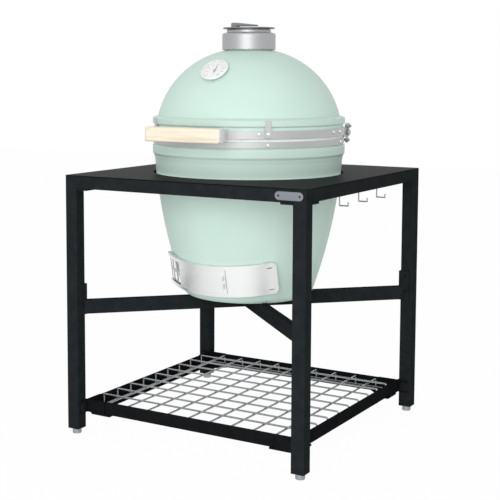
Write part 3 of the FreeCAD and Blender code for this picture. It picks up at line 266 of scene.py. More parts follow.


# %% [markdown]
# ### Powder coat
# The table is sprayed with a charcoal powder that melts into a matt skin with a fine orange peel.
# Two grains make it: a broad one that shifts the tone a little, and a fine one for the peel. Even
# a weak gloss would turn the table top grey here, because it is seen at a flat angle, so the coat
# keeps almost none, and the top is a shade darker below its little gloss. The shelf's rails get a
# darker copy of the same coat, which is painted shade: they sit low under the table top. Real tube
# has rounded edges, which a Bevel node gives back to the CAD mesh.

# %% Powder coat on the frame and on the top
def powder_coat(name, dark, light, roughness, specular, peel):
    """Powder that drifts between two tones, with a peel of a depth in metres."""
    material, tree, shader = new_finish(name, dark, roughness, specular=specular)
    broad = grain(tree, 35, detail=3)
    tint(tree, broad, shader, [(0.3, dark), (0.7, light)])
    fine = grain(tree, 900, detail=2)
    sheen_range(tree, fine, shader, roughness - 0.05, roughness + 0.08)
    relief(tree, fine, shader, peel, 0.5, soft_edges(tree, 0.0012))
    return material


frame_coat = powder_coat("charcoal_coat", (0.0155, 0.0180, 0.0195), (0.0210, 0.0240, 0.0255), 0.7,
                         0.0005, 0.0002)
top_coat = powder_coat("worktop_coat", (0.0070, 0.0080, 0.0085), (0.0100, 0.0113, 0.0117), 0.42,
                       0.0085, 0.0001)
# The shelf's rails and corner brackets get a darker copy of the charcoal coat: painted shade, for
# they sit low under the table top.
shaded_shelf_coat = powder_coat("shaded_shelf_coat", (0.0080, 0.0090, 0.0098), (0.0115, 0.0130, 0.0140), 0.7,
                         0.0005, 0.0002)
dress(frame_coat, "leg_front_left", "leg_front_right", "leg_back_left", "leg_back_right",
      "rail_front", "rail_back", "rail_left", "rail_right", "corner_plates", "cross_bar_long",
      "cross_bar_halves", "cross_brackets")
dress(shaded_shelf_coat, "shelf_rail_front", "shelf_rail_back", "shelf_rail_left", "shelf_rail_right",
      "shelf_corner_brackets")
dress(top_coat, "table_top")

# %% [markdown]
# ### Glazed ceramic
# The shells are fired clay under a thick glaze. The clay below is matt and the glaze above is
# clear and glossy, which is what a coat layer on the shader is for. The glaze shrinks into shallow
# dimples a few millimetres wide as it cools, its tone drifts slowly over the shell, and it flows
# round the edges of the rims, so a Bevel node rounds them by 3 mm.
#
# Only the outside is glazed. Inside, the same shells are bare clay, and one mesh carries both.
# Which side a point is on shows in its normal: on the outside it points away from the middle of
# the grill, and on the inside towards it. The sign of that product picks the clay or the glaze.

# %% Mint glaze and bare clay
mint, mint_tree, mint_shader = new_finish("mint_glaze", (0.62, 0.77, 0.70), 0.55, specular=0.15)
mint_shader.inputs["Coat Weight"].default_value = 0.18
mint_shader.inputs["Coat Roughness"].default_value = 0.22
mint_shader.inputs["Coat IOR"].default_value = 1.45
glaze_colour = tint(mint_tree, grain(mint_tree, 4, detail=2), mint_shader,
                    [(0.3, (0.575, 0.75, 0.67)), (0.7, (0.625, 0.79, 0.72))])
clay_colour = tint(mint_tree, grain(mint_tree, 220, detail=5), mint_shader,
                   [(0.35, (0.50, 0.43, 0.33)), (0.5, (0.66, 0.59, 0.47)),
                    (0.75, (0.74, 0.67, 0.56))])
print(mint.name, "has two colours")

# %% Glaze outside, clay inside
ALL_CLAY, ALL_GLAZE = -0.03, -0.02
whereabouts = mint_tree.nodes.new("ShaderNodeTexCoord")
from_middle = mint_tree.nodes.new("ShaderNodeVectorMath")
from_middle.operation = "SUBTRACT"
from_middle.inputs[1].default_value = (0, 0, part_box("dome_gasket")[0].z)
outwards = mint_tree.nodes.new("ShaderNodeVectorMath")
outwards.operation = "DOT_PRODUCT"
inside = mint_tree.nodes.new("ShaderNodeMapRange")
inside.inputs["From Min"].default_value = ALL_CLAY
inside.inputs["From Max"].default_value = ALL_GLAZE
inside.inputs["To Min"].default_value = 1
inside.inputs["To Max"].default_value = 0
either_side = mint_tree.nodes.new("ShaderNodeMix")
either_side.data_type = "RGBA"
mint_tree.links.new(whereabouts.outputs["Object"], from_middle.inputs[0])
mint_tree.links.new(from_middle.outputs["Vector"], outwards.inputs[0])
mint_tree.links.new(whereabouts.outputs["Normal"], outwards.inputs[1])
mint_tree.links.new(outwards.outputs["Value"], inside.inputs["Value"])
mint_tree.links.new(inside.outputs["Result"], either_side.inputs["Factor"])
mint_tree.links.new(glaze_colour, either_side.inputs["A"])
mint_tree.links.new(clay_colour, either_side.inputs["B"])
mint_tree.links.new(either_side.outputs["Result"], mint_shader.inputs["Base Color"])
sheen_range(mint_tree, inside.outputs["Result"], mint_shader, 0.55, 0.85)

# %% Dimples and soft edges of the glaze
spots = mint_tree.nodes.new("ShaderNodeTexVoronoi")
spots.feature = "SMOOTH_F1"
spots.inputs["Scale"].default_value = 150
spots.inputs["Smoothness"].default_value = 0.6
mint_tree.links.new(whereabouts.outputs["Object"], spots.inputs["Vector"])
relief(mint_tree, spots.outputs["Distance"], mint_shader, 0.0004, 0.35,
       soft_edges(mint_tree, 0.003))
dress(mint, "base_shell", "dome_shell")

# %% [markdown]
# ### Metals
# Brushed steel is drawn past an abrasive belt, so its scratches run one way. Stretching the noise
# along one axis gives that look: the bands, clips and draft door are brushed round the grill,
# which on an upright wall is the same as streaks that change quickly with height and slowly
# sideways. Cast iron is rough in every direction instead.

# %% Brushed and cast metal
def brushed(name, colour, roughness, streaks, contrast, edge=0.0008):
    """Metal with streaks, drawn out most along the axis with the smallest number."""
    material, tree, shader = new_finish(name, colour, roughness, metallic=1.0)
    lines = grain(tree, 1.0, streaks, detail=3, roughness=0.7)
    dark = tuple(value * (1 - contrast) for value in colour)
    light = tuple(min(1.0, value * (1 + contrast)) for value in colour)
    tint(tree, lines, shader, [(0.25, dark), (0.75, light)])
    sheen_range(tree, lines, shader, roughness - 0.06, roughness + 0.08)
    relief(tree, lines, shader, 0.00004, 0.4, soft_edges(tree, edge))
    return material


def cast(name, colour, roughness, pit):
    """Metal with the grain of its sand mould, pitted by a depth in metres."""
    material, tree, shader = new_finish(name, colour, roughness, metallic=0.6)
    sand = grain(tree, 700, detail=4)
    dark = tuple(value * 0.7 for value in colour)
    tint(tree, grain(tree, 60, detail=3), shader, [(0.3, dark), (0.7, colour)])
    sheen_range(tree, sand, shader, roughness - 0.1, roughness + 0.1)
    relief(tree, sand, shader, pit, 0.7)
    return material


# %% Each metal with its colour, roughness and streaks
band_steel = brushed("brushed_band_steel", (0.53, 0.54, 0.54), 0.6, (6, 6, 900), 0.12)
door_steel = brushed("satin_door_steel", (0.86, 0.87, 0.87), 0.46, (6, 6, 700), 0.025)
case_steel = brushed("bright_case_steel", (0.88, 0.89, 0.89), 0.42, (400, 400, 400), 0.03)
cap_steel = brushed("satin_cap_metal", (0.44, 0.445, 0.45), 0.5, (8, 8, 700), 0.05, 0.004)
lid_steel = brushed("dark_cap_metal", (0.26, 0.265, 0.27), 0.5, (300, 8, 300), 0.1)
plate_steel = brushed("brushed_plate", (0.25, 0.275, 0.295), 0.42, (10, 10, 1200), 0.1)
end_steel = brushed("bright_end_plate", (0.80, 0.80, 0.79), 0.5, (400, 400, 400), 0.05)
screen_steel = brushed("grey_screen_steel", (0.52, 0.53, 0.53), 0.45, (6, 6, 700), 0.06)
hinge_steel = brushed("grey_hinge_steel", (0.50, 0.51, 0.51), 0.55, (60, 60, 400), 0.14)
wire_steel = brushed("plated_wire", (0.36, 0.375, 0.38), 0.42, (90, 90, 90), 0.08)
zinc = brushed("zinc_foot", (0.34, 0.35, 0.355), 0.5, (20, 20, 600), 0.12)
black_iron = cast("black_cast_iron", (0.035, 0.035, 0.036), 0.6, 0.0004)

# %% Metals on their pieces
dress(band_steel, "lower_band", "upper_band", "lid_clips")
dress(door_steel, "draft_frame", "draft_door")
dress(screen_steel, "draft_screen")
dress(case_steel, "thermometer_case")
dress(cap_steel, "vent_base")
dress(lid_steel, "vent_plate", "vent_cover", "vent_pin")
dress(plate_steel, "name_plate")
dress(end_steel, "handle_caps", "handle_brackets")
dress(hinge_steel, "hinge_arms_lower", "hinge_arms_upper", "hinge_pin")
dress(wire_steel, "tool_hooks", "cooking_grid")
dress(zinc, "foot_front_left", "foot_front_right", "foot_back_left", "foot_back_right")
dress(black_iron, "fire_grate")

# %% [markdown]
# ### Clay, felt, plastic, dial and glass
# The fire box and the fire ring are bare fired clay: warm, dusty and speckled. The rims carry a
# pale felt that seals them, the leg caps are black moulded plastic, and the dial is white enamel
# with dark marks and a needle, under glass. The glass is mostly see-through by its alpha instead of
# by refraction, which lets the lamps reach the dial behind it.

# %% Clay
clay, clay_tree, clay_shader = new_finish("fired_clay", (0.6, 0.47, 0.34), 0.85, specular=0.2)
specks = grain(clay_tree, 260, detail=5)
tint(clay_tree, specks, clay_shader, [(0.35, (0.42, 0.32, 0.22)), (0.5, (0.58, 0.46, 0.33)),
                                      (0.75, (0.70, 0.58, 0.44))])
relief(clay_tree, specks, clay_shader, 0.0006, 0.6)
dress(clay, "fire_box", "fire_ring")

# %% Felt and plastic
felt, felt_tree, felt_shader = new_finish("rim_felt", (0.93, 0.93, 0.92), 1.0, specular=0.1)
fibres = grain(felt_tree, 1.0, (500, 500, 1500), detail=5)
tint(felt_tree, fibres, felt_shader, [(0.3, (0.88, 0.88, 0.87)), (0.7, (0.97, 0.97, 0.96))])
relief(felt_tree, fibres, felt_shader, 0.0008, 0.8)
dress(felt, "base_gasket", "dome_gasket")

plastic, plastic_tree, plastic_shader = new_finish("black_plastic", (0.012, 0.012, 0.013), 0.6,
                                                  specular=0.06)
moulded = grain(plastic_tree, 1200, detail=2)
tint(plastic_tree, moulded, plastic_shader, [(0.3, (0.009, 0.009, 0.010)),
                                             (0.7, (0.016, 0.016, 0.017))])
relief(plastic_tree, moulded, plastic_shader, 0.00012, 0.5)
dress(plastic, "leg_end_caps")


# %% Dial, ink, needle and glass
def two_tone(name, colour, roughness, scale, dark, light):
    """A paint whose tone drifts a little between two colours."""
    material, tree, shader = new_finish(name, colour, roughness)
    tint(tree, grain(tree, scale), shader, [(0.3, dark), (0.7, light)])
    return material


enamel = two_tone("dial_enamel", (0.88, 0.88, 0.87), 0.35, 80,
                  (0.85, 0.85, 0.84), (0.91, 0.91, 0.90))
ink = two_tone("dial_ink", (0.10, 0.10, 0.11), 0.6, 400,
               (0.08, 0.08, 0.085), (0.13, 0.13, 0.135))
needle_coat = two_tone("needle_coat", (0.22, 0.22, 0.225), 0.5, 300,
                       (0.18, 0.18, 0.185), (0.26, 0.26, 0.265))
dress(enamel, "thermometer_dial")
dress(needle_coat, "thermometer_needle")

glass, glass_tree, glass_shader = new_finish("dial_glass", (0.97, 0.98, 0.98), 0.06)
glass_shader.inputs["Alpha"].default_value = 0.12
relief(glass_tree, grain(glass_tree, 40), glass_shader, 0.00002, 0.3)
dress(glass, "thermometer_glass")

# %% [markdown]
# ### Pine
# The grip is planed from a pale softwood. Its yearly rings show as long lines along the grip,
# because the bar is cut along the trunk. Noise that is stretched more than twenty times along X
# draws them. A finer noise, stretched too, stands for the fibres and roughens the surface a little.

# %% Wood with its grain along the grip
pine, pine_tree, pine_shader = new_finish("pale_pine", (0.84, 0.75, 0.60), 0.55, specular=0.3)
rings = grain(pine_tree, 1.0, (4, 95, 95), detail=3, roughness=0.5)
tint(pine_tree, rings, pine_shader, [(0.32, (0.72, 0.60, 0.44)), (0.46, (0.86, 0.77, 0.62)),
                                     (0.60, (0.88, 0.80, 0.66)), (0.72, (0.78, 0.67, 0.51))])
wood_fibres = grain(pine_tree, 1.0, (30, 900, 900), detail=4)
sheen_range(pine_tree, wood_fibres, pine_shader, 0.45, 0.65)
relief(pine_tree, wood_fibres, pine_shader, 0.0002, 0.5)
print(pine.name, "waits for the grip")

# %% [markdown]
# ## Geometry Nodes desk
# What repeats on the object is made by node trees, with the sizes as named inputs: the wires of
# the shelf, the coils on the hinge, the bolt heads and the marks on the dial. Each tree ends in
# Realize Instances and Set Material. The result is then turned into a plain mesh and the modifier
# goes, because what leaves Blender has to be real faces.

# %% Helpers for geometry node trees
class NodeDesk:
    """A geometry node tree that is wired while its nodes are added."""

    def __init__(self, name, inputs):
        self.tree = bpy.data.node_groups.new(name, "GeometryNodeTree")
        self.tree.interface.new_socket("Geometry", in_out="OUTPUT",
                                       socket_type="NodeSocketGeometry")
        self.tree.interface.new_socket("Geometry", in_out="INPUT",
                                       socket_type="NodeSocketGeometry")
        for label, kind in inputs:
            self.tree.interface.new_socket(label, in_out="INPUT", socket_type="NodeSocket" + kind)
        self.given = self.tree.nodes.new("NodeGroupInput").outputs

    def add(self, kind, values=(), **settings):
        """Adds a node. Values are (input, number or socket) pairs. Gives its first output."""
        node = self.tree.nodes.new(kind)
        for key, value in settings.items():
            setattr(node, key, value)
        for key, value in values:
            if isinstance(value, bpy.types.NodeSocket):
                self.tree.links.new(value, node.inputs[key])
            else:
                node.inputs[key].default_value = value
        return node.outputs[0]

    def math(self, operation, first, second):
        """Adds, subtracts, multiplies, divides or compares two numbers."""
        return self.add("ShaderNodeMath", ((0, first), (1, second)), operation=operation)

    def rounded(self, curve, radius):
        """Rounds the corners of a curve with arcs of six points."""
        return self.add("GeometryNodeFilletCurve", (("Curve", curve), ("Count", 6),
                                                    ("Radius", radius)), mode="POLY")

    def join(self, *pieces):
        """Joins several geometries into one."""
        node = self.tree.nodes.new("GeometryNodeJoinGeometry")
        for piece in pieces:
            self.tree.links.new(piece, node.inputs[0])
        return node.outputs[0]

    def close(self, geometry, smooth=True):
        """Ends the tree in real, shaded faces with the material that was given."""
        real = self.add("GeometryNodeRealizeInstances", ((0, geometry),))
        shaded = self.add("GeometryNodeSetShadeSmooth", ((0, real), ("Shade Smooth", smooth)))
        finished = self.add("GeometryNodeSetMaterial", ((0, shaded),
                                                        ("Material", self.given["Material"])))
        out = self.tree.nodes.new("NodeGroupOutput")
        self.tree.links.new(finished, out.inputs[0])


def grow(name, desk, sizes, seed=None):
    """Runs a tree with the given sizes and keeps the result as a plain mesh at the origin."""
    carrier = show(name + "_carrier", seed or bpy.data.meshes.new(name + "_seed"))
    modifier = carrier.modifiers.new("grow", "NODES")
    modifier.node_group = desk.tree
    sockets = {item.name: item.identifier for item in desk.tree.interface.items_tree
               if item.in_out == "INPUT"}
    for label, value in sizes.items():
        modifier[sockets[label]] = value
    reading = carrier.evaluated_get(bpy.context.evaluated_depsgraph_get())
    mesh = bpy.data.meshes.new_from_object(reading)
    mesh.name = name
    bpy.data.objects.remove(carrier)
    print(name, len(mesh.polygons), "faces")
    return show(name, mesh)


# %% [markdown]
# ## The wire shelf
# The shelf is a welded grid: wires from side to side lie over wires from front to back, and every
# end is bent down to a square of wire that rests on the shelf's ledge. CAD gives the wires sharp
# elbows. Here each wire is a curve of four points whose corners are rounded by Fillet Curve, swept
# with a circle, and set out in rows by instancing, so that one bend radius serves all the ends.

# %% Inputs of the wire grid
grid_low, grid_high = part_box("shelf_grid")
WIRE_RADIUS = 0.00275
WIRE_PITCH = 0.068
WIRES = 9
BEND_RADIUS = 0.005
grid_half = grid_high.x - WIRE_RADIUS
grid_desk = NodeDesk("welded_wire_grid", (
    ("Half Length", "Float"), ("Pitch", "Float"), ("Wires", "Int"), ("Wire Radius", "Float"),
    ("Top Height", "Float"), ("Low Height", "Float"), ("Bend Radius", "Float"),
    ("Material", "Material")))
size_of = grid_desk.given
wire_section = grid_desk.add("GeometryNodeCurvePrimitiveCircle",
                             (("Resolution", 10), ("Radius", size_of["Wire Radius"])))
minus_half = grid_desk.math("MULTIPLY", size_of["Half Length"], -1.0)
print("wire grid", round(grid_half * 2, 4), "m wide")


# %% One layer of wires
def bent_row(desk, height, quarter_turn):
    """Parallel wires with both ends bent down."""
    corners = []
    for across, up in ((minus_half, size_of["Low Height"]), (minus_half, height),
                       (size_of["Half Length"], height),
                       (size_of["Half Length"], size_of["Low Height"])):
        corners.append(desk.add("ShaderNodeCombineXYZ", (("X", across), ("Z", up))))
    line = desk.add("GeometryNodeMeshLine", (("Count", 4),))
    index = desk.add("GeometryNodeInputIndex")
    pick = desk.tree.nodes.new("GeometryNodeIndexSwitch")
    pick.data_type = "VECTOR"
    while len(pick.index_switch_items) < 4:
        pick.index_switch_items.new()
    desk.tree.links.new(index, pick.inputs["Index"])
    for number, corner in enumerate(corners):
        desk.tree.links.new(corner, pick.inputs[number + 1])
    bent = desk.add("GeometryNodeSetPosition", ((0, line), ("Position", pick.outputs[0])))
    path = desk.rounded(desk.add("GeometryNodeMeshToCurve", ((0, bent),)),
                        size_of["Bend Radius"])
    wire = desk.add("GeometryNodeCurveToMesh", (("Curve", path), ("Profile Curve", wire_section),
                                                ("Fill Caps", True)))
    reach = desk.math("MULTIPLY", size_of["Pitch"],
                      desk.math("DIVIDE", desk.math("SUBTRACT", size_of["Wires"], 1.0), 2.0))
    start = desk.add("ShaderNodeCombineXYZ", (("Y", desk.math("MULTIPLY", reach, -1.0)),))
    step = desk.add("ShaderNodeCombineXYZ", (("Y", size_of["Pitch"]),))
    row = desk.add("GeometryNodeMeshLine", (("Count", size_of["Wires"]),
                                            ("Start Location", start), ("Offset", step)))
    wires = desk.add("GeometryNodeInstanceOnPoints", (("Points", row), ("Instance", wire)))
    if not quarter_turn:
        return wires
    return desk.add("GeometryNodeTransform", ((0, wires),
                                              ("Rotation", (0, 0, math.radians(90)))))


# %% Grow the wire grid
below = grid_desk.math("SUBTRACT", size_of["Top Height"],
                       grid_desk.math("MULTIPLY", size_of["Wire Radius"], 2.0))
over = bent_row(grid_desk, size_of["Top Height"], False)
under = bent_row(grid_desk, below, True)
side = grid_desk.math("MULTIPLY", size_of["Half Length"], 2.0)
square = grid_desk.add("GeometryNodeCurvePrimitiveQuadrilateral", (("Width", side),
                                                                   ("Height", side)))
edge = grid_desk.add("GeometryNodeCurveToMesh", (
    ("Curve", grid_desk.rounded(square, size_of["Bend Radius"])),
    ("Profile Curve", wire_section)))
lift = grid_desk.add("ShaderNodeCombineXYZ", (("Z", size_of["Low Height"]),))
edge = grid_desk.add("GeometryNodeTransform", ((0, edge), ("Translation", lift)))
grid_desk.close(grid_desk.join(over, under, edge))
wire_shelf = grow("wire_shelf", grid_desk, {
    "Half Length": grid_half, "Pitch": WIRE_PITCH, "Wires": WIRES, "Wire Radius": WIRE_RADIUS,
    "Top Height": grid_high.z - WIRE_RADIUS, "Low Height": grid_low.z + WIRE_RADIUS,
    "Bend Radius": BEND_RADIUS, "Material": wire_steel})
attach(wire_shelf, "shelf_grid")
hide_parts("shelf_grid")

# %% [markdown]
# ## The hinge springs
# Two coiled springs on the hinge pin carry most of the dome's weight. In CAD they are stacked
# rings. A helix is one curve, so a Spiral node with a height gives the real thing. It is drawn
# along Z and laid along X, once on either side of the hinge.

# %% The tree of a spring
SPRING_WIRE = 0.0023
SPRING_SPACE = 0.0001
SPRING_START = 0.1105
SPRING_LENGTH = 0.050
SPRING_TURNS = 10.5
spring_low, spring_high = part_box("hinge_springs")
pin_y = (spring_low.y + spring_high.y) / 2
pin_z = (spring_low.z + spring_high.z) / 2
coil_radius = (spring_high.z - spring_low.z) / 2 - SPRING_WIRE - SPRING_SPACE
spring_desk = NodeDesk("coiled_spring", (
    ("Turns", "Float"), ("Coil Radius", "Float"), ("Length", "Float"), ("Wire Radius", "Float"),
    ("Place", "Vector"), ("Material", "Material")))
size_of = spring_desk.given
helix = spring_desk.add("GeometryNodeCurveSpiral", (
    ("Resolution", 20), ("Rotations", size_of["Turns"]), ("Start Radius", size_of["Coil Radius"]),
    ("End Radius", size_of["Coil Radius"]), ("Height", size_of["Length"])))
spring_section = spring_desk.add("GeometryNodeCurvePrimitiveCircle",
                                 (("Resolution", 8), ("Radius", size_of["Wire Radius"])))
coil = spring_desk.add("GeometryNodeCurveToMesh", (("Curve", helix),
                                                   ("Profile Curve", spring_section),
                                                   ("Fill Caps", True)))
laid = spring_desk.add("GeometryNodeTransform", ((0, coil), ("Translation", size_of["Place"]),
                                                 ("Rotation", (0, math.radians(90), 0))))
spring_desk.close(laid)
print("coil radius", round(coil_radius, 4), "m")

# %% Wind the springs
for name, start in (("spring_right", SPRING_START),
                    ("spring_left", -SPRING_START - SPRING_LENGTH)):
    spring = grow(name, spring_desk, {
        "Turns": SPRING_TURNS, "Coil Radius": coil_radius, "Length": SPRING_LENGTH,
        "Wire Radius": SPRING_WIRE, "Place": (start, pin_y, pin_z), "Material": hinge_steel})
    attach(spring, "table")
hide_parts("hinge_springs")

# %% [markdown]
# ## Bolt heads
# The frame is held by button-head bolts, the bands by smaller ones, and the shelf by large black
# caps. One head is turned as rings of points round its axis, with the innermost rings bent to a
# hexagon and sunk for the key. Instances of it are then set on every seat by a node tree that
# reads which way each seat faces.

# %% Turn one head
RING = 24


def stitched(levels, around, first=0):
    """Four-sided faces between rings of points that follow each other."""
    faces = []
    for level in range(levels - 1):
        ring = first + level * around
        for step in range(around):
            following = (step + 1) % around
            faces.append((ring + step, ring + following, ring + around + following,
                          ring + around + step))
    return faces


def hexagon_radius(step, across_flats):
    """Distance from the centre to a hexagon's side, in the direction of a step of the ring."""
    angle = (step / RING * 2 * math.pi) % (math.pi / 3) - math.pi / 6
    return across_flats / 2 / math.cos(angle)


def head_mesh(name, radius, height, key):
    """A button head, or a plain domed cap when the key has no width."""
    dome = ((1, 0), (1, 0.3), (0.95, 0.62), (0.82, 0.86), (0.64, 1))
    rings = [([radius * share] * RING, height * up) for share, up in dome]
    if key:
        socket = [hexagon_radius(step, key) for step in range(RING)]
        rings += [(socket, height), (socket, height * 0.35)]
    else:
        rings.append(([radius * 0.4] * RING, height))
    points = []
    for reaches, up in rings:
        for step, reach in enumerate(reaches):
            angle = step / RING * 2 * math.pi
            points.append((reach * math.cos(angle), reach * math.sin(angle), up))
    faces = stitched(len(rings), RING)
    faces.append([(len(rings) - 1) * RING + step for step in range(RING)])
    faces.append([RING - 1 - step for step in range(RING)])
    return shape(name, points, faces)


# %% Set heads on their seats
seat_desk = NodeDesk("heads_on_seats", (("Head", "Object"), ("Material", "Material")))
head_geometry = seat_desk.tree.nodes.new("GeometryNodeObjectInfo")
seat_desk.tree.links.new(seat_desk.given["Head"], head_geometry.inputs["Object"])
facing = seat_desk.add("GeometryNodeInputNamedAttribute", (("Name", "facing"),),
                       data_type="FLOAT_VECTOR")
turned = seat_desk.add("FunctionNodeAlignRotationToVector", (("Vector", facing),), axis="Z")
heads = seat_desk.add("GeometryNodeInstanceOnPoints", (
    ("Points", seat_desk.given["Geometry"]), ("Instance", head_geometry.outputs["Geometry"]),
    ("Rotation", turned)))
seat_desk.close(heads, smooth=False)


def set_heads(name, seats, radius, height, key, material, body, slot, replaced):
    """Heads on seats, each a (place, direction) pair, in place of the CAD bolts."""
    pattern = show(name + "_pattern", head_mesh(name + "_head", radius, height, key))
    points = shape(name + "_seats", [place for place, direction in seats], [])
    normals = points.attributes.new("facing", "FLOAT_VECTOR", "POINT")
    for item, (place, direction) in zip(normals.data, seats):
        item.vector = direction
    piece = grow(name, seat_desk, {"Head": pattern, "Material": material}, seed=points)
    bpy.data.objects.remove(pattern)
    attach(piece, body)
    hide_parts(replaced)
    return piece


# %% Bolts of the frame
cross_low, cross_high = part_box("cross_bolts")
caps_low, caps_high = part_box("shelf_bolts")
HEAD_RADIUS, HEAD_HEIGHT, HEAD_KEY = 0.0055, 0.003, 0.005
CAP_RADIUS, CAP_HEIGHT = 0.014, 0.005
BRACKET_THICKNESS = 0.004
bracket_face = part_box("leg_front_right")[0].x - BRACKET_THICKNESS
bolt_place = cross_high.y - HEAD_RADIUS
bolt_heights = (cross_low.z + HEAD_RADIUS, cross_high.z - HEAD_RADIUS)
cap_height = (caps_low.z + caps_high.z) / 2
corner_bolts = []
corner_caps = []
for across in (1, -1):
    for along in (1, -1):
        for height in (*bolt_heights, cap_height):
            row = corner_caps if height == cap_height else corner_bolts
            row.append(((bracket_face * across, bolt_place * along, height), (-across, 0, 0)))
            row.append(((bolt_place * across, bracket_face * along, height), (0, -along, 0)))
print("bracket face", round(bracket_face, 4), "bolt place", round(bolt_place, 4))
set_heads("cross_bolt_heads", corner_bolts, HEAD_RADIUS, HEAD_HEIGHT, HEAD_KEY, plastic, "table",
          "stainless", "cross_bolts")
set_heads("shelf_bolt_caps", corner_caps, CAP_RADIUS, CAP_HEIGHT, 0, plastic, "table",
          "black_plastic", "shelf_bolts")


# %% Bolts of the bands
BAND_HEAD = (0.0045, 0.0034, 0.004)
CLIP_RISE = 0.0043
CLIP_TURNS = (40.3, -40.3)
UPPER_TURNS = (35.3, -35.3, 88, 97, -88, -97)
LOWER_TURNS = (40.3, -40.3, 99, -99)


def round_the_grill(degrees, height, radius):
    """A seat on a round wall at an angle from the front, and its direction."""
    angle = math.radians(degrees)
    outward = (math.sin(angle), -math.cos(angle), 0)
    return (outward[0] * radius, outward[1] * radius, height), outward


band_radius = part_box("upper_band")[1].x
upper_low, upper_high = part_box("upper_band_bolts")
lower_low, lower_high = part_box("lower_band_bolts")
upper_level = (upper_low.z + upper_high.z) / 2
lower_level = (lower_low.z + lower_high.z) / 2
upper_seats = [round_the_grill(turn, upper_level, band_radius) for turn in UPPER_TURNS]
upper_seats += [round_the_grill(turn, upper_level, band_radius + CLIP_RISE)
                for turn in CLIP_TURNS]
lower_seats = [round_the_grill(turn, lower_level, band_radius) for turn in LOWER_TURNS]
set_heads("upper_band_heads", upper_seats, *BAND_HEAD, case_steel, "lid", "stainless",
          "upper_band_bolts")
set_heads("lower_band_heads", lower_seats, *BAND_HEAD, case_steel, "table", "stainless",
          "lower_band_bolts")

# %% Screws of the name plate
SCREW_RADIUS, SCREW_HEIGHT, SCREW_KEY = 0.0027, 0.001, 0.0022
screw_low, screw_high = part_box("name_plate_screws")
screw_z = (screw_low.z + screw_high.z) / 2
plate_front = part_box("name_plate")[0].y
plate_seats = [((x, plate_front, screw_z), (0, -1, 0))
               for x in (screw_low.x + SCREW_RADIUS, screw_high.x - SCREW_RADIUS)]
set_heads("plate_screw_heads", plate_seats, SCREW_RADIUS, SCREW_HEIGHT, SCREW_KEY, plastic,
          "table", "stainless", "name_plate_screws")

# %% [markdown]
# ## The grip
# The handle is a planed bar of pale wood, taller than it is deep, with its long edges rounded by a
# router and its ends sanded soft. A stack of rounded rectangles along X gives it: the section is
# a list of points with a quarter circle at each corner, and the sections shrink a little towards
# both ends. It replaces the CAD bar and stays inside its size.

# %% A section of the grip
def rounded_section(half_y, half_z, corner, steps=7):
    """Points round a rectangle with rounded corners, about the origin."""
    points = []
    for quarter, (sign_y, sign_z) in enumerate(((1, 1), (-1, 1), (-1, -1), (1, -1))):
        for step in range(steps):
            angle = math.pi / 2 * (quarter + step / (steps - 1))
            points.append((sign_y * (half_y - corner) + corner * math.cos(angle),
                           sign_z * (half_z - corner) + corner * math.sin(angle)))
    return points


# %% Stack the sections into the grip
END_ROUND, END_STEPS = 0.003, 5
EDGE_ROUND = 0.007
BODY_STEPS = 24
grip_low, grip_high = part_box("handle_grip")
grip_middle = (grip_low + grip_high) / 2
grip_half = (grip_high - grip_low) / 2
straight = (grip_half.x - END_ROUND) * 2
end = []
for step in range(END_STEPS + 1):
    angle = step / END_STEPS * math.pi / 2
    end.append((-grip_half.x + END_ROUND * (1 - math.sin(angle)),
                END_ROUND * (1 - math.cos(angle)) * 0.8))
end.sort()
sections = end + [(-grip_half.x + END_ROUND + straight * step / BODY_STEPS, 0.0)
                  for step in range(1, BODY_STEPS)]
sections += [(-x, inset) for x, inset in reversed(end)]
grip_points = []
for x, inset in sections:
    for y, z in rounded_section(grip_half.y - inset, grip_half.z - inset, EDGE_ROUND):
        grip_points.append((grip_middle.x + x, grip_middle.y + y, grip_middle.z + z))
around = len(grip_points) // len(sections)
grip_faces = stitched(len(sections), around)
grip_faces.append([around - 1 - step for step in range(around)])
grip_faces.append([(len(sections) - 1) * around + step for step in range(around)])
grip_mesh = shape("planed_grip", grip_points, grip_faces)
grip_mesh.materials.append(pine)
for face in grip_mesh.polygons:
    face.use_smooth = len(face.vertices) == 4
planed_grip = show("planed_grip", grip_mesh)
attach(planed_grip, "lid")
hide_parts("handle_grip")
print("grip", len(grip_faces), "faces", "length", round(grip_half.x * 2, 4))

# %% [markdown]
# ## The cover of the vent
# The cast cover is a flat disc that swings round a pin. Its lever is a thick block at one side with
# a flat arm that reaches over the disc and leaves a gap for the fingers. The disc is spun from a
# rounded outline, and a Boolean modifier cuts the pin's hole out of it. The lever is the side
# outline of the arm, drawn once and pushed out to its width, and a Bevel modifier breaks its edges.

# %% Helpers for the cover
def finished_mesh(mesh, *changes):
    """Runs modifiers on a mesh, each a (kind, settings) pair, and keeps the result."""
    carrier = show("carrier", mesh)
    for kind, settings in changes:
        modifier = carrier.modifiers.new(kind, kind)
        for key, value in settings.items():
            setattr(modifier, key, value)
    result = bpy.data.meshes.new_from_object(carrier.evaluated_get(
        bpy.context.evaluated_depsgraph_get()))
    bpy.data.objects.remove(carrier)
    return result


def spun(name, outline, centre_y, steps):
    """A solid spun round an upright axis, from (radius, height) points that end on the axis."""
    points = [(0, centre_y, outline[0][1])]
    for radius, height in outline[1:-1]:
        for step in range(steps):
            angle = step / steps * 2 * math.pi
            points.append((radius * math.cos(angle), centre_y + radius * math.sin(angle), height))
    points.append((0, centre_y, outline[-1][1]))
    last_ring = len(points) - 1 - steps
    faces = stitched(len(outline) - 2, steps, first=1)
    for step in range(steps):
        following = (step + 1) % steps
        faces.append((0, 1 + following, 1 + step))
        faces.append((last_ring + step, last_ring + following, len(points) - 1))
    return shape(name, points, faces)


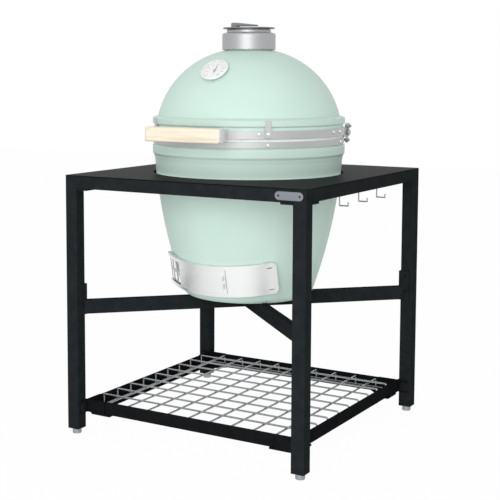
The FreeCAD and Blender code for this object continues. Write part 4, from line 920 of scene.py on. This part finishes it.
# %% Spin and drill the disc
DISC_THICKNESS = 0.004
HOLE_RADIUS, HOLE_PAST = 0.0033, 0.01
cover_low, cover_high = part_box("vent_cover")
disc_radius = cover_high.x
disc_top = cover_low.z + DISC_THICKNESS
pin_low, pin_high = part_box("vent_pin")
disc = spun("cover_disc", [
    (0, cover_low.z), (disc_radius - 0.0012, cover_low.z), (disc_radius, cover_low.z + 0.0010),
    (disc_radius, disc_top - 0.0014), (disc_radius - 0.0007, disc_top - 0.0004),
    (disc_radius - 0.002, disc_top), (disc_radius - 0.007, disc_top),
    (disc_radius - 0.008, disc_top - 0.0006), (0, disc_top - 0.0006)], 0, 72)
drill = show("drill", spun("drill", [
    (0, cover_low.z - HOLE_PAST), (HOLE_RADIUS, cover_low.z - HOLE_PAST),
    (HOLE_RADIUS, disc_top + HOLE_PAST), (0, disc_top + HOLE_PAST)],
    (pin_low.y + pin_high.y) / 2, 32))
drilled = finished_mesh(disc, ("BOOLEAN", {"operation": "DIFFERENCE", "object": drill}))
bpy.data.objects.remove(drill)
print("disc", len(drilled.polygons), "faces")

# %% Cut the lever and join the two
LEVER_HALF = 0.011
lever_side = [(-0.054, disc_top - 0.001), (-0.037, disc_top - 0.001), (-0.036, disc_top + 0.0045),
              (0.023, disc_top + 0.0040), (0.026, disc_top + 0.0055), (0.024, disc_top + 0.0080),
              (-0.036, cover_high.z - 0.0006), (-0.048, cover_high.z),
              (-0.054, cover_high.z - 0.0022)]
lever_points = [(x, side, z) for side in (-LEVER_HALF, LEVER_HALF) for x, z in lever_side]
count = len(lever_side)
lever_faces = [list(range(count)), [2 * count - 1 - step for step in range(count)]]
for step in range(count):
    following = (step + 1) % count
    lever_faces.append((following, step, count + step, count + following))
lever = finished_mesh(shape("cover_lever", lever_points, lever_faces),
                      ("BEVEL", {"width": 0.0012, "segments": 3, "limit_method": "ANGLE"}))
cover_shape = bmesh.new()
for piece_mesh in (drilled, lever):
    cover_shape.from_mesh(piece_mesh)
cover_mesh = bpy.data.meshes.new("swing_cover")
bmesh.ops.recalc_face_normals(cover_shape, faces=cover_shape.faces)
cover_shape.to_mesh(cover_mesh)
cover_shape.free()
cover_mesh.materials.clear()
cover_mesh.materials.append(lid_steel)
for face in cover_mesh.polygons:
    face.material_index = 0
swing_cover = show("swing_cover", cover_mesh)
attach(swing_cover, "vent_cover")
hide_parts("vent_cover")
print("cover", len(cover_mesh.polygons), "faces")

# %% [markdown]
# ## Marks on the dial
# A thermometer's dial has a scale over three quarters of a turn: short marks, a longer one at every
# fifth, and plain numbers. The marks are one thin bar, repeated and turned by a node tree, and the
# numbers are text turned into meshes. All of it is drawn flat at the origin and then moved onto
# the enamel by one matrix. The dial stands square to the dome, whose side is an arc, so the arc's
# radius and centre give its lean and its place.

# %% Where the dial is
DIAL_OUT = 0.1886
DOME_ARC_RADIUS = 0.251
DOME_ARC_OUT, DOME_ARC_HEIGHT = 0.0198, 0.8558
ENAMEL_RISE = 0.0038
lean_angle = math.asin((DIAL_OUT - DOME_ARC_OUT) / DOME_ARC_RADIUS)
outward = Vector((0, -math.sin(lean_angle), math.cos(lean_angle)))
dome_point = Vector((0, -DIAL_OUT, DOME_ARC_HEIGHT + DOME_ARC_RADIUS * math.cos(lean_angle)))
dial_face = (Matrix.Translation(dome_point + outward * ENAMEL_RISE)
             @ Matrix.Rotation(lean_angle, 4, "X"))
print("the dial leans", round(math.degrees(lean_angle), 1), "degrees")

# %% Draw the scale
SCALE_ARC = 270
MARK_DEPTH = 0.0001
scale_desk = NodeDesk("dial_scale", (
    ("Marks", "Int"), ("Arc", "Float"), ("Radius", "Float"), ("Long", "Float"), ("Short", "Float"),
    ("Width", "Float"), ("Material", "Material")))
size_of = scale_desk.given
row = scale_desk.add("GeometryNodeMeshLine", (("Count", size_of["Marks"]),
                                              ("Offset", (0, 0, 0))))
order = scale_desk.add("GeometryNodeInputIndex")
part = scale_desk.math("DIVIDE", order, scale_desk.math("SUBTRACT", size_of["Marks"], 1.0))
turn = scale_desk.math("MULTIPLY", scale_desk.math("SUBTRACT", 0.5, part), size_of["Arc"])
bar_turn = scale_desk.add("ShaderNodeCombineXYZ", (("Z", turn),))
fifth = scale_desk.math("LESS_THAN", scale_desk.math("MODULO", order, 5.0), 0.5)
reach = scale_desk.math("ADD", size_of["Short"], scale_desk.math(
    "MULTIPLY", fifth, scale_desk.math("SUBTRACT", size_of["Long"], size_of["Short"])))
bar_size = scale_desk.add("ShaderNodeCombineXYZ", (("X", size_of["Width"]), ("Y", reach),
                                                   ("Z", MARK_DEPTH)))
bar = scale_desk.add("GeometryNodeMeshCube", (("Size", (1, 1, 1)),))
outer_edge = scale_desk.math("SUBTRACT", size_of["Radius"],
                             scale_desk.math("MULTIPLY", reach, 0.5))
placed_row = scale_desk.add("GeometryNodeSetPosition", (
    (0, row), ("Position", scale_desk.add("ShaderNodeVectorRotate", (
        ("Vector", scale_desk.add("ShaderNodeCombineXYZ", (("Y", outer_edge),))),
        ("Angle", turn)), rotation_type="Z_AXIS"))))
marks = scale_desk.add("GeometryNodeInstanceOnPoints", (
    ("Points", placed_row), ("Instance", bar), ("Rotation", bar_turn), ("Scale", bar_size)))
scale_desk.close(marks, smooth=False)
dial_marks = grow("dial_marks", scale_desk, {
    "Marks": 41, "Arc": math.radians(SCALE_ARC), "Radius": 0.0335, "Long": 0.0045,
    "Short": 0.0025, "Width": 0.0006, "Material": ink})
dial_marks.data.transform(dial_face)
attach(dial_marks, "lid")

# %% Write the numbers
NUMBERS = range(0, 401, 50)
NUMBER_RADIUS = 0.0245
for number in NUMBERS:
    lettering = bpy.data.curves.new("number", "FONT")
    lettering.body = str(number)
    lettering.size = 0.0055
    lettering.extrude = MARK_DEPTH / 2
    lettering.align_x = "CENTER"
    lettering.align_y = "CENTER"
    writer = show("number_writer", lettering)
    plain = bpy.data.meshes.new_from_object(writer.evaluated_get(
        bpy.context.evaluated_depsgraph_get()))
    bpy.data.objects.remove(writer)
    angle = math.radians(SCALE_ARC * (0.5 - number / NUMBERS[-1]))
    spot = Vector((-math.sin(angle), math.cos(angle), 0)) * NUMBER_RADIUS
    plain.transform(dial_face @ Matrix.Translation(spot))
    plain.materials.clear()
    plain.materials.append(ink)
    label = show("dial_number_%d" % number, plain)
    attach(label, "lid")
print(len(NUMBERS), "numbers")

# %% [markdown]
# ## Last update
# The view layer is brought up to date once more.

# %% Update the view layer
bpy.context.view_layer.update()
